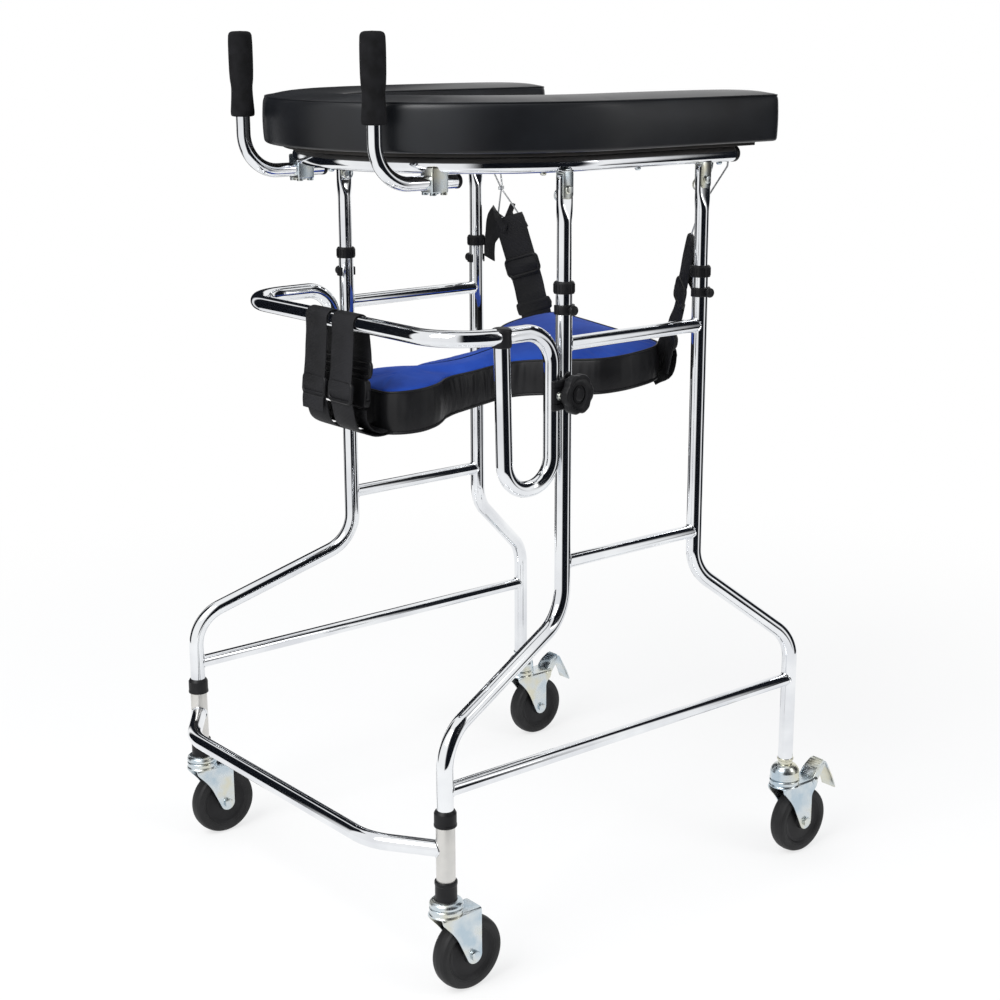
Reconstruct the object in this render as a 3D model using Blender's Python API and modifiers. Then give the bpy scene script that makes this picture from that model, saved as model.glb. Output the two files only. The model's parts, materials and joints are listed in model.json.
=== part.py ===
# Standing and walking frame on four swivel casters, with a forearm pad and a sling saddle.
# Metres, +Z up. The user stands inside and faces -Y; +X is the user's left.
# The origin is on the floor, under the middle of the frame's outline.

import math

import bmesh
import bpy
from mathutils import Matrix, Vector

# Tubes
TUBE_R = 0.011
TUBE_WALL = 0.001
BAR_R = 0.0095
SLIDE_GAP = 0.0003
TOUCH_GAP = 0.0003
SLEEVE_WALL = 0.0012
HANDLE_R = 0.0095
WIRE_R = 0.0013
BEND_R = 0.060
BEND_STEP = 24.0

# Side frames: wheelbase, stance and heights
WHEELBASE = 0.642
BASE_HALF = 0.310
UPRIGHT_HALF = 0.248
UPRIGHT_SETBACK = 0.2495
UPRIGHT_SPACING = 0.249
LOW_BAR_Z = 0.285
MID_BAR_Z = 0.525
TOP_BAR_Z = 0.821
UPRIGHT_TOP_Z = 0.8965
FRONT_UPPER_KNEE_Z = 0.450
FRONT_LOWER_KNEE_Z = 0.354
REAR_UPPER_KNEE_Z = 0.468
REAR_LOWER_KNEE_Z = 0.348

# Front bar and its sleeves
FRONT_BAR_Z = 0.205
FRONT_BAR_REACH = 0.060
FRONT_BAR_BEND_INSET = 0.085
FRONT_BAR_BEND_R = 0.090
SLEEVE_TOP_Z = 0.246
COLLAR_HEIGHT = 0.022
COLLAR_OVERLAP = 0.008
COLLAR_WALL = 0.0018

# Height adjustment
HOLE_PITCH = 0.0256
HOLE_R = 0.0032
HOLES_ABOVE_CLIP = 3
HOLES_BELOW_CLIP = 4
CLIP_DROP = 0.0295
CLIP_HEIGHT = 0.0125
CLIP_WALL = 0.0024
CLIP_PIN_R = 0.0028
CLIP_KNOB_R = 0.0065
CLIP_KNOB_REACH = 0.0225
BUSH_HEIGHT = 0.016
BUSH_WALL = 0.0020
BUSH_LIP = 0.007
INNER_TUBE_BOTTOM_Z = 0.600

# Top frame and its brackets: the arc's centre is behind the front uprights, the ends behind the rear ones
TOP_FRAME_Z = 1.052
ARC_SETBACK = 0.0595
TOP_FRAME_TAIL = 0.0565
ARC_STEP = 15.0
BRACKET_DEPTH = 0.033
BRACKET_WIDTH = 0.017
BRACKET_PLATE = 0.002
TAB_THICKNESS = 0.010
TAB_WIDTH = 0.023
TAB_LENGTH = 0.032
TAB_TAPER = 0.030
PIN_R = 0.003
PIN_DEPTH = 0.021
RING_R = 0.0075
RING_WIRE_R = 0.0009

# Forearm pad and its board: its edges outside, inside and behind the top frame's line
PAD_OUTSET = 0.049
PAD_INSET = 0.058
PAD_TAIL = 0.0436
PAD_THICKNESS = 0.065
PAD_EDGE_R = 0.010
PAD_CORNER_R = 0.012
BOARD_THICKNESS = 0.005
BOARD_INSET = 0.025

# Hand grips: ahead of where their tubes pass under the top frame, and above it
GRIP_HALF = 0.153
GRIP_REACH = 0.0913
GRIP_RISE = 0.1645
GRIP_LENGTH = 0.112
GRIP_R = 0.0162
GRIP_END = 0.004
HANDLE_BEND_R = 0.052
HANDLE_TAIL = 0.036
HANDLE_GAP = 0.001
CLAMP_WALL = 0.0034
CLAMP_LENGTH = 0.026

# Guard bar, its loop and clamps: the front run is ahead of the front uprights
GUARD_Z = 0.843
GUARD_REACH = 0.1865
GUARD_CORNER_R = 0.075
GUARD_CLAMP_Z = 0.758
CLAMP_ANGLE = 8.0
CLAMP_WEB = 0.0016
GUARD_FOOT_Z = 0.680
LOOP_SPACING = 0.0836
LOOP_BOTTOM_Z = 0.638
LOOP_TOP_R = 0.045
TEE_R = 0.0135
TEE_LENGTH = 0.025
JAW_HEIGHT = 0.040
JAW_WALL = 0.0028
JAW_EDGE_R = 0.004
JAW_LIP = 0.009
KNOB_R = 0.027
KNOB_DEPTH = 0.013
KNOB_LOBES = 6
KNOB_LOBE_DEPTH = 0.0022
KNOB_NECK_R = 0.010
STUD_R = 0.004

# Seat and its straps: the nose is behind the guard's front run, the tail behind the rear uprights
SEAT_NOSE_GAP = 0.043
SEAT_TAIL = 0.0445
SEAT_FRONT_TOP_Z = 0.748
SEAT_REAR_TOP_Z = 0.788
SEAT_THICKNESS = 0.050
SEAT_FRONT_HALF = 0.078
SEAT_WAIST_HALF = 0.038
SEAT_REAR_HALF = 0.178
SEAT_EDGE_R = 0.008
STRAP_WIDTH = 0.050
STRAP_THICKNESS = 0.0024
STRAP_PITCH = 0.0625
STRAP_CLEARANCE = 0.002
# A front strap's outer ply: y from the seat's nose, z from the run below the seat
OUTER_PLY_RUN = ((0.0636, 0.0004), (0.0266, -0.0016), (-0.0115, -0.0063), (-0.0325, -0.0023),
                 (-0.0515, 0.0102), (-0.0580, 0.0332), (-0.0631, 0.0570), (-0.0585, 0.0902),
                 (-0.0570, 0.1102), (-0.0553, 0.1302))
# Its inner ply: y from the seat's nose, z from the seat's top in front
INNER_PLY_RUN = ((-0.0270, 0.047), (-0.0279, 0.011), (-0.0315, -0.012))
# A hanger's joint, inwards from the top frame's line, behind the rear uprights and below the frame
HANGER_INSET = 0.026
HANGER_SETBACK = 0.0305
HANGER_DROP = 0.075
HANGER_SPREAD = 0.030
HANGER_TRIANGLE = 0.039
# A rear strap's foot, inwards from the seat's side, behind its tail and above its top
FOOT_INSET = 0.004
FOOT_SETBACK = 0.015
FOOT_RISE = 0.0035
UPPER_PLY_DROP = 0.104
PLY_LAP = 0.024

# Casters
WHEEL_R = 0.0508
WHEEL_WIDTH = 0.025
TRAIL = 0.033
AXLE_R = 0.004
AXLE_GAP = 0.0004
HUB_WIDTH = 0.0275
HUB_GAP = 0.00075
HUB_R = 0.012
RIM_R = 0.035
WEB_RECESS = 0.004
TYRE_ROUND = 0.006
FORK_PLATE = 0.0025
FORK_CLEARANCE = 0.0149
FORK_HORN = 0.012
FORK_TOP_TAIL = 0.038
FORK_NOSE = 0.018
FORK_EYE_R = 0.012
RACE_R = 0.0225
RACE_HEIGHT = 0.010
CUP_HEIGHT = 0.009
CUP_SHOULDER_R = 0.0125
STEM_SHOULDER = 0.0227
STEM_PLUG = 0.0465
# A pedal's pivot, behind the axle and below the fork's top
PEDAL_SETBACK = 0.017
PEDAL_DROP = 0.0055
# Points of a pedal's profile, (y, z) from its pivot: shoe, tread and release lip
PEDAL_PROFILE = ((0.008, -0.0115), (0.001, 0.000), (0.008, 0.015), (0.027, 0.026), (0.046, -0.008),
                 (0.053, -0.025))
PEDAL_PLATE = 0.0024
PEDAL_WIDTH = 0.026

# Facets: the number of sides on round pieces
TUBE_SIDES = 10
BORE_SIDES = 8
TURNED_SIDES = 12
WHEEL_SIDES = 16

# Worked out from the sizes above
BORE_R = TUBE_R - TUBE_WALL
INNER_R = BORE_R - SLIDE_GAP
SLEEVE_BORE_R = TUBE_R + SLIDE_GAP
SLEEVE_R = SLEEVE_BORE_R + SLEEVE_WALL
FORK_GAP = HUB_WIDTH + 2 * HUB_GAP
FORK_TAIL = TRAIL + FORK_EYE_R
FORK_TOP_Z = 2 * WHEEL_R + FORK_CLEARANCE
CUP_BOTTOM_Z = FORK_TOP_Z + RACE_HEIGHT + TOUCH_GAP
CUP_TOP_Z = CUP_BOTTOM_Z + CUP_HEIGHT
LEG_BOTTOM_Z = CUP_TOP_Z + STEM_SHOULDER
STEM_TOP_Z = LEG_BOTTOM_Z + STEM_PLUG
PEDAL_PIVOT = (TRAIL + PEDAL_SETBACK, FORK_TOP_Z - PEDAL_DROP)
REACH_AHEAD = FRONT_BAR_REACH + TUBE_R
REACH_BEHIND = PEDAL_PIVOT[0] + PEDAL_PROFILE[-1][0] + PEDAL_PLATE / 2
MIDDLE_Y = (REACH_AHEAD - REACH_BEHIND) / 2
FRONT_LEG_Y = MIDDLE_Y - WHEELBASE / 2
REAR_LEG_Y = MIDDLE_Y + WHEELBASE / 2
FRONT_UPRIGHT_Y = FRONT_LEG_Y + UPRIGHT_SETBACK
REAR_UPRIGHT_Y = FRONT_UPRIGHT_Y + UPRIGHT_SPACING
CLIP_Z = UPRIGHT_TOP_Z - CLIP_DROP
TOP_FRAME_ARC_Y = FRONT_UPRIGHT_Y + ARC_SETBACK
TOP_FRAME_REAR_Y = REAR_UPRIGHT_Y + TOP_FRAME_TAIL
PIN_Z = TOP_FRAME_Z - TUBE_R - PIN_DEPTH
PAD_BOTTOM_Z = TOP_FRAME_Z + TUBE_R + TOUCH_GAP + BOARD_THICKNESS + TOUCH_GAP
PAD_OUTER_HALF = UPRIGHT_HALF + PAD_OUTSET
PAD_INNER_HALF = UPRIGHT_HALF - PAD_INSET
PAD_REAR_Y = TOP_FRAME_REAR_Y + PAD_TAIL
CROSSING_Y = TOP_FRAME_ARC_Y - math.sqrt(UPRIGHT_HALF ** 2 - GRIP_HALF ** 2)
GRIP_Y = CROSSING_Y - GRIP_REACH
GRIP_TOP_Z = TOP_FRAME_Z + GRIP_RISE
HANDLE_Z = TOP_FRAME_Z - TUBE_R - HANDLE_GAP - HANDLE_R
GUARD_FRONT_Y = FRONT_UPRIGHT_Y - GUARD_REACH
SEAT_FRONT_Y = GUARD_FRONT_Y + SEAT_NOSE_GAP
SEAT_REAR_Y = REAR_UPRIGHT_Y + SEAT_TAIL
HANGER_JOINT = (UPRIGHT_HALF - HANGER_INSET, REAR_UPRIGHT_Y + HANGER_SETBACK, TOP_FRAME_Z - HANGER_DROP)
HANGER_TRIANGLE_Z = HANGER_JOINT[2] - HANGER_TRIANGLE
STRAP_FOOT = (SEAT_REAR_HALF - FOOT_INSET, SEAT_REAR_Y + FOOT_SETBACK, SEAT_REAR_TOP_Z + FOOT_RISE)
UPPER_PLY_BOTTOM_Z = HANGER_JOINT[2] - UPPER_PLY_DROP
LOWER_PLY_TOP_Z = UPPER_PLY_BOTTOM_Z + PLY_LAP

SIDES = {"left": 1, "right": -1}
ENDS = {"front": (FRONT_LEG_Y, FRONT_UPRIGHT_Y), "rear": (REAR_LEG_Y, REAR_UPRIGHT_Y)}


def around(radius, sides=TURNED_SIDES):
    """The radius of a faceted bore whose flats clear a round piece by the usual gap."""
    return (radius + TOUCH_GAP) / math.cos(math.pi / sides)


def within(radius, sides=TUBE_SIDES):
    """The radius of a plug that clears the flats of a faceted bore by the usual gap."""
    return radius * math.cos(math.pi / sides) - TOUCH_GAP


# Scene and materials
for old in list(bpy.data.objects):
    bpy.data.objects.remove(old, do_unlink=True)

PARTS = bpy.data.collections.new("forearm_walker")
bpy.context.scene.collection.children.link(PARTS)


def material(name, hex_colour, metallic, roughness):
    """A Principled material from an sRGB hex colour."""
    channels = [int(hex_colour[i:i + 2], 16) / 255 for i in (0, 2, 4)]
    linear = [c / 12.92 if c <= 0.04045 else ((c + 0.055) / 1.055) ** 2.4 for c in channels]
    made = bpy.data.materials.new(name)
    made.use_nodes = True
    shader = made.node_tree.nodes["Principled BSDF"]
    shader.inputs["Base Color"].default_value = (*linear, 1)
    shader.inputs["Metallic"].default_value = metallic
    shader.inputs["Roughness"].default_value = roughness
    made.diffuse_color = (*linear, 1)
    return made


CHROME = material("chromed_steel", "D8DADD", 1.0, 0.12)
ZINC = material("zinc_plate", "B9C2C8", 1.0, 0.32)
BLACK_PLASTIC = material("black_plastic", "1B1B1D", 0.0, 0.45)
FOAM = material("black_foam", "161617", 0.0, 0.90)
TYRE = material("black_tyre", "1E1E20", 0.0, 0.65)
PAD_LEATHER = material("pad_leather", "24262B", 0.0, 0.42)
PLYWOOD = material("plywood", "B08A5A", 0.0, 0.70)
SEAT_CLOTH = material("seat_cloth", "2647A0", 0.0, 0.90)
WEBBING = material("black_webbing", "19191B", 0.0, 0.80)


# Mesh helpers
SLIVER = 0.000002


def add_object(name, mesh, finish):
    """A new object in the parts collection, with its material."""
    made = bpy.data.objects.new(name, mesh)
    PARTS.objects.link(made)
    made.data.materials.clear()
    made.data.materials.append(finish)
    return made


def bake(piece):
    """Replaces a piece's mesh with its evaluated one, so that its modifiers are done with."""
    bpy.context.view_layer.update()
    done = bpy.data.meshes.new_from_object(piece.evaluated_get(bpy.context.evaluated_depsgraph_get()))
    work = bmesh.new()
    work.from_mesh(done)
    bmesh.ops.dissolve_degenerate(work, edges=work.edges, dist=SLIVER)
    work.to_mesh(done)
    work.free()
    piece.modifiers.clear()
    piece.data = done


def combine(piece, other, operation):
    """Applies one exact Boolean to a piece and removes the other operand."""
    step = piece.modifiers.new(operation.lower(), "BOOLEAN")
    step.operation = operation
    step.solver = "EXACT"
    step.object = other
    bake(piece)
    bpy.data.objects.remove(other, do_unlink=True)


def join(piece, *others):
    for other in others:
        combine(piece, other, "UNION")


def cut(piece, *others):
    for other in others:
        combine(piece, other, "DIFFERENCE")


def finish_round(piece, angle=35.0):
    """Smooth shading with creases kept sharp."""
    piece.data.shade_smooth()
    piece.data.set_sharp_from_angle(angle=math.radians(angle))
    return piece


def bevel(piece, width, segments=2, angle=50.0):
    step = piece.modifiers.new("rounded_edges", "BEVEL")
    step.width = width
    step.segments = segments
    step.limit_method = "ANGLE"
    step.angle_limit = math.radians(angle)
    bake(piece)


def place(piece, matrix):
    """Moves a piece's mesh by a matrix."""
    piece.data.transform(matrix)
    piece.data.update()
    return piece


def set_origin(piece, point):
    """Puts a piece's origin on a point of its joint's axis and leaves its shape where it is."""
    piece.data.transform(Matrix.Translation(-Vector(point)))
    piece.location = point
    return piece


def curve_to_mesh(name, curve, finish, weld=0.00002):
    """Turns a curve into a closed mesh object, with its end caps welded on."""
    shape = bpy.data.objects.new(name + "_curve", curve)
    PARTS.objects.link(shape)
    bpy.context.view_layer.update()
    mesh = bpy.data.meshes.new_from_object(shape.evaluated_get(bpy.context.evaluated_depsgraph_get()))
    bpy.data.objects.remove(shape, do_unlink=True)
    work = bmesh.new()
    work.from_mesh(mesh)
    bmesh.ops.remove_doubles(work, verts=work.verts, dist=weld)
    bmesh.ops.recalc_face_normals(work, faces=work.faces)
    work.to_mesh(mesh)
    work.free()
    return add_object(name, mesh, finish)


def tube(name, points, radius, finish, sides=TUBE_SIDES, closed=False):
    """A round bar with an even number of sides, swept along straight runs between points."""
    curve = bpy.data.curves.new(name, "CURVE")
    curve.dimensions = "3D"
    curve.bevel_depth = radius
    curve.bevel_resolution = sides // 2 - 2
    curve.use_fill_caps = not closed
    spline = curve.splines.new("POLY")
    spline.points.add(len(points) - 1)
    for target, point in zip(spline.points, points):
        target.co = (*point, 1)
    spline.use_cyclic_u = closed
    return curve_to_mesh(name, curve, finish)


def filleted(points, radius, step=BEND_STEP):
    """A path through corner points, with each inner corner replaced by an arc of the bend radius."""
    corners = [Vector(p) for p in points]
    path = [corners[0]]
    for before, here, after in zip(corners, corners[1:], corners[2:]):
        arrive = (here - before).normalized()
        leave = (after - here).normalized()
        turn = arrive.angle(leave)
        if turn < math.radians(1):
            path.append(here)
            continue
        setback = radius * math.tan(turn / 2)
        start = here - arrive * setback
        inward = (leave - arrive * leave.dot(arrive)).normalized()
        centre = start + inward * radius
        count = max(2, math.ceil(math.degrees(turn) / step))
        for i in range(count + 1):
            a = turn * i / count
            path.append(centre - inward * radius * math.cos(a) + arrive * radius * math.sin(a))
    path.append(corners[-1])
    return path


def turned(name, profile, finish, steps=TURNED_SIDES):
    """A turned piece about Z, from a closed profile of (radius, height) that runs down its outer side."""
    mesh = bpy.data.meshes.new(name)
    count = len(profile)
    edges = [(i, (i + 1) % count) for i in range(count)]
    mesh.from_pydata([(r, 0, z) for r, z in profile], edges, [])
    piece = add_object(name, mesh, finish)
    spin = piece.modifiers.new("turn", "SCREW")
    spin.axis = "Z"
    spin.steps = steps
    spin.render_steps = steps
    spin.use_merge_vertices = True
    spin.merge_threshold = 0.00001
    bake(piece)
    return piece


def turned_solid(name, profile, finish, steps=TURNED_SIDES):
    """A solid turned about Z, from an open profile that starts and ends on the axis."""
    mesh = bpy.data.meshes.new(name)
    mesh.from_pydata([(r, 0, z) for r, z in profile], [(i, i + 1) for i in range(len(profile) - 1)], [])
    piece = add_object(name, mesh, finish)
    spin = piece.modifiers.new("turn", "SCREW")
    spin.axis = "Z"
    spin.steps = steps
    spin.render_steps = steps
    spin.use_merge_vertices = True
    spin.merge_threshold = 0.00001
    bake(piece)
    return piece


def rod(name, radius, start, end, finish, sides=TURNED_SIDES):
    """A plain cylinder between two points, with a flat towards each world axis across it."""
    start, end = Vector(start), Vector(end)
    work = bmesh.new()
    bmesh.ops.create_cone(work, cap_ends=True, segments=sides, radius1=radius, radius2=radius,
                          depth=(end - start).length)
    mesh = bpy.data.meshes.new(name)
    work.to_mesh(mesh)
    work.free()
    half_step = Matrix.Rotation(math.pi / sides, 4, "Z")
    turn = (end - start).to_track_quat("Z", "Y").to_matrix().to_4x4()
    mesh.transform(Matrix.Translation((start + end) / 2) @ turn @ half_step)
    return add_object(name, mesh, finish)


def block(name, low, high, finish):
    """A box between two corners."""
    low, high = Vector(low), Vector(high)
    work = bmesh.new()
    bmesh.ops.create_cube(work, size=1.0)
    mesh = bpy.data.meshes.new(name)
    work.to_mesh(mesh)
    work.free()
    size = high - low
    mesh.transform(Matrix.Translation((low + high) / 2) @ Matrix.Diagonal((*size, 1)))
    return add_object(name, mesh, finish)


def sheet(name, outline, thickness, finish):
    """A flat outline in X and Y, as thick as asked, centred on Z = 0."""
    curve = bpy.data.curves.new(name, "CURVE")
    curve.dimensions = "2D"
    curve.fill_mode = "BOTH"
    curve.extrude = thickness / 2
    spline = curve.splines.new("POLY")
    spline.points.add(len(outline) - 1)
    for target, (x, y) in zip(spline.points, outline):
        target.co = (x, y, 0, 1)
    spline.use_cyclic_u = True
    return curve_to_mesh(name, curve, finish)


# An outline drawn in (y, z) becomes upright: its X turns to Y, its Y to Z, and its thickness to X
UPRIGHT_PLANE = Matrix(((0, 0, 1, 0), (1, 0, 0, 0), (0, 1, 0, 0), (0, 0, 0, 1)))


def plate_yz(name, outline, x_middle, thickness, finish):
    """A plate that stands in the YZ plane, drawn as (y, z) points."""
    piece = sheet(name, outline, thickness, finish)
    return place(piece, Matrix.Translation((x_middle, 0, 0)) @ UPRIGHT_PLANE)


def arc(centre, radius, start, end, step=ARC_STEP):
    """Points on an arc in a plane, from one angle to another in degrees."""
    count = max(1, math.ceil(abs(end - start) / step))
    angles = [math.radians(start + (end - start) * i / count) for i in range(count + 1)]
    return [(centre[0] + radius * math.cos(a), centre[1] + radius * math.sin(a)) for a in angles]


def ribbon_outline(path, thickness):
    """The outline of a flat strap seen from its edge, along a path of (y, z) points."""
    points = [Vector(p) for p in path]
    near, far = [], []
    for i, here in enumerate(points):
        before = points[max(i - 1, 0)]
        after = points[min(i + 1, len(points) - 1)]
        along = (after - before).normalized()
        across = Vector((-along.y, along.x)) * thickness / 2
        near.append(here + across)
        far.append(here - across)
    return [tuple(p) for p in near + far[::-1]]


# Side frames
def leg_path(side, end):
    """The run of one leg, from the top of its upright to its foot."""
    leg_y, upright_y = ENDS[end]
    x_up, x_low = side * UPRIGHT_HALF, side * BASE_HALF
    upper = FRONT_UPPER_KNEE_Z if end == "front" else REAR_UPPER_KNEE_Z
    lower = FRONT_LOWER_KNEE_Z if end == "front" else REAR_LOWER_KNEE_Z
    corners = [(x_up, upright_y, UPRIGHT_TOP_Z), (x_up, upright_y, upper),
               (x_low, leg_y, lower), (x_low, leg_y, LEG_BOTTOM_Z)]
    return filleted(corners, BEND_R)


def overshoot(path, amount=0.002):
    """The same path, run past both of its ends, for a bore that opens them."""
    first = path[0] + (path[0] - path[1]).normalized() * amount
    last = path[-1] + (path[-1] - path[-2]).normalized() * amount
    return [first, *path[1:-1], last]


def side_frame(label, side):
    """Two bent legs and three bars, welded, hollow all through and open at the tube ends."""
    bars = {
        "low": ((side * BASE_HALF, FRONT_LEG_Y, LOW_BAR_Z), (side * BASE_HALF, REAR_LEG_Y, LOW_BAR_Z)),
        "mid": ((side * UPRIGHT_HALF, FRONT_UPRIGHT_Y, MID_BAR_Z),
                (side * UPRIGHT_HALF, REAR_UPRIGHT_Y, MID_BAR_Z)),
        "top": ((side * UPRIGHT_HALF, FRONT_UPRIGHT_Y, TOP_BAR_Z),
                (side * UPRIGHT_HALF, REAR_UPRIGHT_Y, TOP_BAR_Z)),
    }
    paths = {end: leg_path(side, end) for end in ENDS}
    frame = tube(label + "_side_frame", paths["front"], TUBE_R, CHROME)
    for name, (start, stop) in bars.items():
        join(frame, rod(name + "_bar", BAR_R, start, stop, CHROME))
    join(frame, tube("rear_leg", paths["rear"], TUBE_R, CHROME))
    for end in ENDS:
        cut(frame, tube(end + "_bore", overshoot(paths[end]), BORE_R, CHROME))
    for name, (start, stop) in bars.items():
        cut(frame, rod(name + "_bore", BAR_R - TUBE_WALL, start, stop, CHROME, BORE_SIDES))
    for end, (leg_y, upright_y) in ENDS.items():
        x = side * UPRIGHT_HALF
        cut(frame, rod("clip_hole", HOLE_R, (x, upright_y, CLIP_Z),
                       (x + side * 2 * TUBE_R, upright_y, CLIP_Z), CHROME, 6))
    return finish_round(frame)


# Front bar with the two sleeves that take the front legs
def front_bar():
    x, y = BASE_HALF, FRONT_LEG_Y
    inset = FRONT_BAR_BEND_INSET
    corners = [(x, y, FRONT_BAR_Z), (x - inset, y - FRONT_BAR_REACH, FRONT_BAR_Z),
               (inset - x, y - FRONT_BAR_REACH, FRONT_BAR_Z), (-x, y, FRONT_BAR_Z)]
    path = filleted(corners, FRONT_BAR_BEND_R, step=12)
    bar = tube("front_bar", path, TUBE_R, CHROME)
    for side in SIDES.values():
        join(bar, rod("sleeve", SLEEVE_R, (side * x, y, LEG_BOTTOM_Z), (side * x, y, SLEEVE_TOP_Z), CHROME))
    cut(bar, tube("bar_bore", path, BORE_R, CHROME, BORE_SIDES))
    for side in SIDES.values():
        cut(bar, rod("sleeve_bore", around(TUBE_R), (side * x, y, LEG_BOTTOM_Z - 0.002),
                     (side * x, y, SLEEVE_TOP_Z + 0.002), CHROME))
    return finish_round(bar)


def sleeve_collar(label, side):
    """A plastic ring over the step between a leg and its sleeve."""
    over_tube = around(TUBE_R)
    over_sleeve = around(SLEEVE_R)
    outer = over_sleeve + COLLAR_WALL
    low = SLEEVE_TOP_Z - COLLAR_OVERLAP
    top = low + COLLAR_HEIGHT
    step_z = SLEEVE_TOP_Z + TOUCH_GAP
    profile = [(over_tube, top), (outer - 0.001, top), (outer, top - 0.001), (outer, low),
               (over_sleeve, low), (over_sleeve, step_z), (over_tube, step_z)]
    piece = turned(label + "_sleeve_collar", profile, BLACK_PLASTIC)
    place(piece, Matrix.Translation((side * BASE_HALF, FRONT_LEG_Y, 0)))
    return finish_round(piece)


# Height adjustment: bush on each upright, inner tube with its row of holes, and the clip with its pin
def upright_bush(label, side, end):
    """A plastic guide ring on an upright's top end, which the inner tube slides through."""
    seat = around(TUBE_R)
    lip = around(INNER_R)
    outer = seat + BUSH_WALL
    top = UPRIGHT_TOP_Z + BUSH_LIP
    low = top - BUSH_HEIGHT
    lip_z = UPRIGHT_TOP_Z + TOUCH_GAP
    profile = [(lip, top), (outer - 0.001, top), (outer, top - 0.001), (outer, low), (seat, low),
               (seat, lip_z), (lip, lip_z)]
    piece = turned(f"{label}_{end}_upright_bush", profile, BLACK_PLASTIC)
    place(piece, Matrix.Translation((side * UPRIGHT_HALF, ENDS[end][1], 0)))
    return finish_round(piece)


def height_clip(label, side, end):
    """A half ring that snaps round the upright, with a pull knob outside and a pin in the hole."""
    inner = around(TUBE_R)
    outer = inner + CLIP_WALL
    outline = arc((0, 0), outer, -84, 84, 24) + arc((0, 0), inner, 84, -84, 24)
    clip = sheet(f"{label}_{end}_height_clip", outline, CLIP_HEIGHT, BLACK_PLASTIC)
    join(clip, rod("knob", CLIP_KNOB_R, (inner + 0.001, 0, 0), (CLIP_KNOB_REACH, 0, 0), BLACK_PLASTIC, 12))
    pin_tip = BORE_R + 0.0002
    join(clip, rod("pin", CLIP_PIN_R, (pin_tip, 0, 0), (inner + 0.002, 0, 0), BLACK_PLASTIC, 6))
    turn = Matrix.Rotation(0 if side > 0 else math.pi, 4, "Z")
    centre = (side * UPRIGHT_HALF, ENDS[end][1], CLIP_Z)
    place(clip, Matrix.Translation(centre) @ turn)
    return finish_round(set_origin(clip, centre))


def inner_tube(label, side, end):
    """A telescoping tube with a row of holes, squeezed flat at its top end to fit its bracket."""
    x, y = side * UPRIGHT_HALF, ENDS[end][1]
    tab_top = TOP_FRAME_Z - TUBE_R - 0.0015
    tab_low = tab_top - TAB_LENGTH
    round_top = tab_low - TAB_TAPER
    heights = [tab_top, tab_low, (tab_low + round_top) / 2, round_top, INNER_TUBE_BOTTOM_Z]
    piece = tube(f"{label}_{end}_inner_tube", [(0, 0, z) for z in heights], INNER_R, CHROME)
    squeeze = {tab_top: 1.0, tab_low: 1.0, heights[2]: 0.55}
    for vertex in piece.data.vertices:
        level = min(heights, key=lambda z: abs(z - vertex.co.z))
        share = squeeze.get(level, 0.0)
        vertex.co.x *= 1 + share * (TAB_THICKNESS / (2 * INNER_R) - 1)
        vertex.co.y *= 1 + share * (TAB_WIDTH / (2 * INNER_R) - 1)
    bore_top = round_top - 0.004
    bore_ends = [(0, 0, bore_top), (0, 0, INNER_TUBE_BOTTOM_Z - 0.002)]
    cut(piece, tube("bore", bore_ends, INNER_R - TUBE_WALL, CHROME, BORE_SIDES))
    for index in range(-HOLES_BELOW_CLIP, HOLES_ABOVE_CLIP + 1):
        z = CLIP_Z + index * HOLE_PITCH
        cut(piece, rod("hole", HOLE_R, (0, 0, z), (side * 2 * INNER_R, 0, z), CHROME, 6))
    cut(piece, rod("pin_hole", PIN_R + TOUCH_GAP, (-0.02, 0, PIN_Z), (0.02, 0, PIN_Z), CHROME, 8))
    place(piece, Matrix.Translation((x, y, 0)))
    return finish_round(piece)


# Top frame: a U of tube with a bracket over each upright
def top_frame_path():
    """The U of the top frame's centre line, from its left rear end round the front to its right."""
    front = arc((0, TOP_FRAME_ARC_Y), UPRIGHT_HALF, 0, -180)
    outline = [(UPRIGHT_HALF, TOP_FRAME_REAR_Y), *front, (-UPRIGHT_HALF, TOP_FRAME_REAR_Y)]
    return [Vector((x, y, TOP_FRAME_Z)) for x, y in outline]


def top_frame():
    path = top_frame_path()
    frame = tube("top_frame", path, TUBE_R, CHROME)
    for side in SIDES.values():
        for leg_y, upright_y in ENDS.values():
            join(frame, bracket(side * UPRIGHT_HALF, upright_y))
    cut(frame, tube("frame_bore", overshoot(path), BORE_R, CHROME, BORE_SIDES))
    for side in SIDES.values():
        for offset in (-HANGER_SPREAD / 2, HANGER_SPREAD / 2):
            y = HANGER_JOINT[1] + offset
            cut(frame, rod("wire_hole", WIRE_R + TOUCH_GAP, (side * UPRIGHT_HALF, y, TOP_FRAME_Z),
                           (side * UPRIGHT_HALF, y, TOP_FRAME_Z - 2 * TUBE_R), CHROME, 6))
    return finish_round(frame)


def bracket(x, y):
    """A channel under the frame tube, whose two plates straddle an inner tube's flat end."""
    gap = TAB_THICKNESS / 2 + TOUCH_GAP
    low = TOP_FRAME_Z - TUBE_R - BRACKET_DEPTH
    channel = block("bracket", (x - gap - BRACKET_PLATE, y - BRACKET_WIDTH / 2, low),
                    (x + gap + BRACKET_PLATE, y + BRACKET_WIDTH / 2, TOP_FRAME_Z - TUBE_R / 2), CHROME)
    slot_top = TOP_FRAME_Z - TUBE_R - 0.0012
    cut(channel, block("slot", (x - gap, y - BRACKET_WIDTH, low - 0.01),
                       (x + gap, y + BRACKET_WIDTH, slot_top), CHROME))
    cut(channel, rod("pin_hole", PIN_R + TOUCH_GAP, (x - 0.03, y, PIN_Z), (x + 0.03, y, PIN_Z), CHROME, 8))
    return channel


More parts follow.
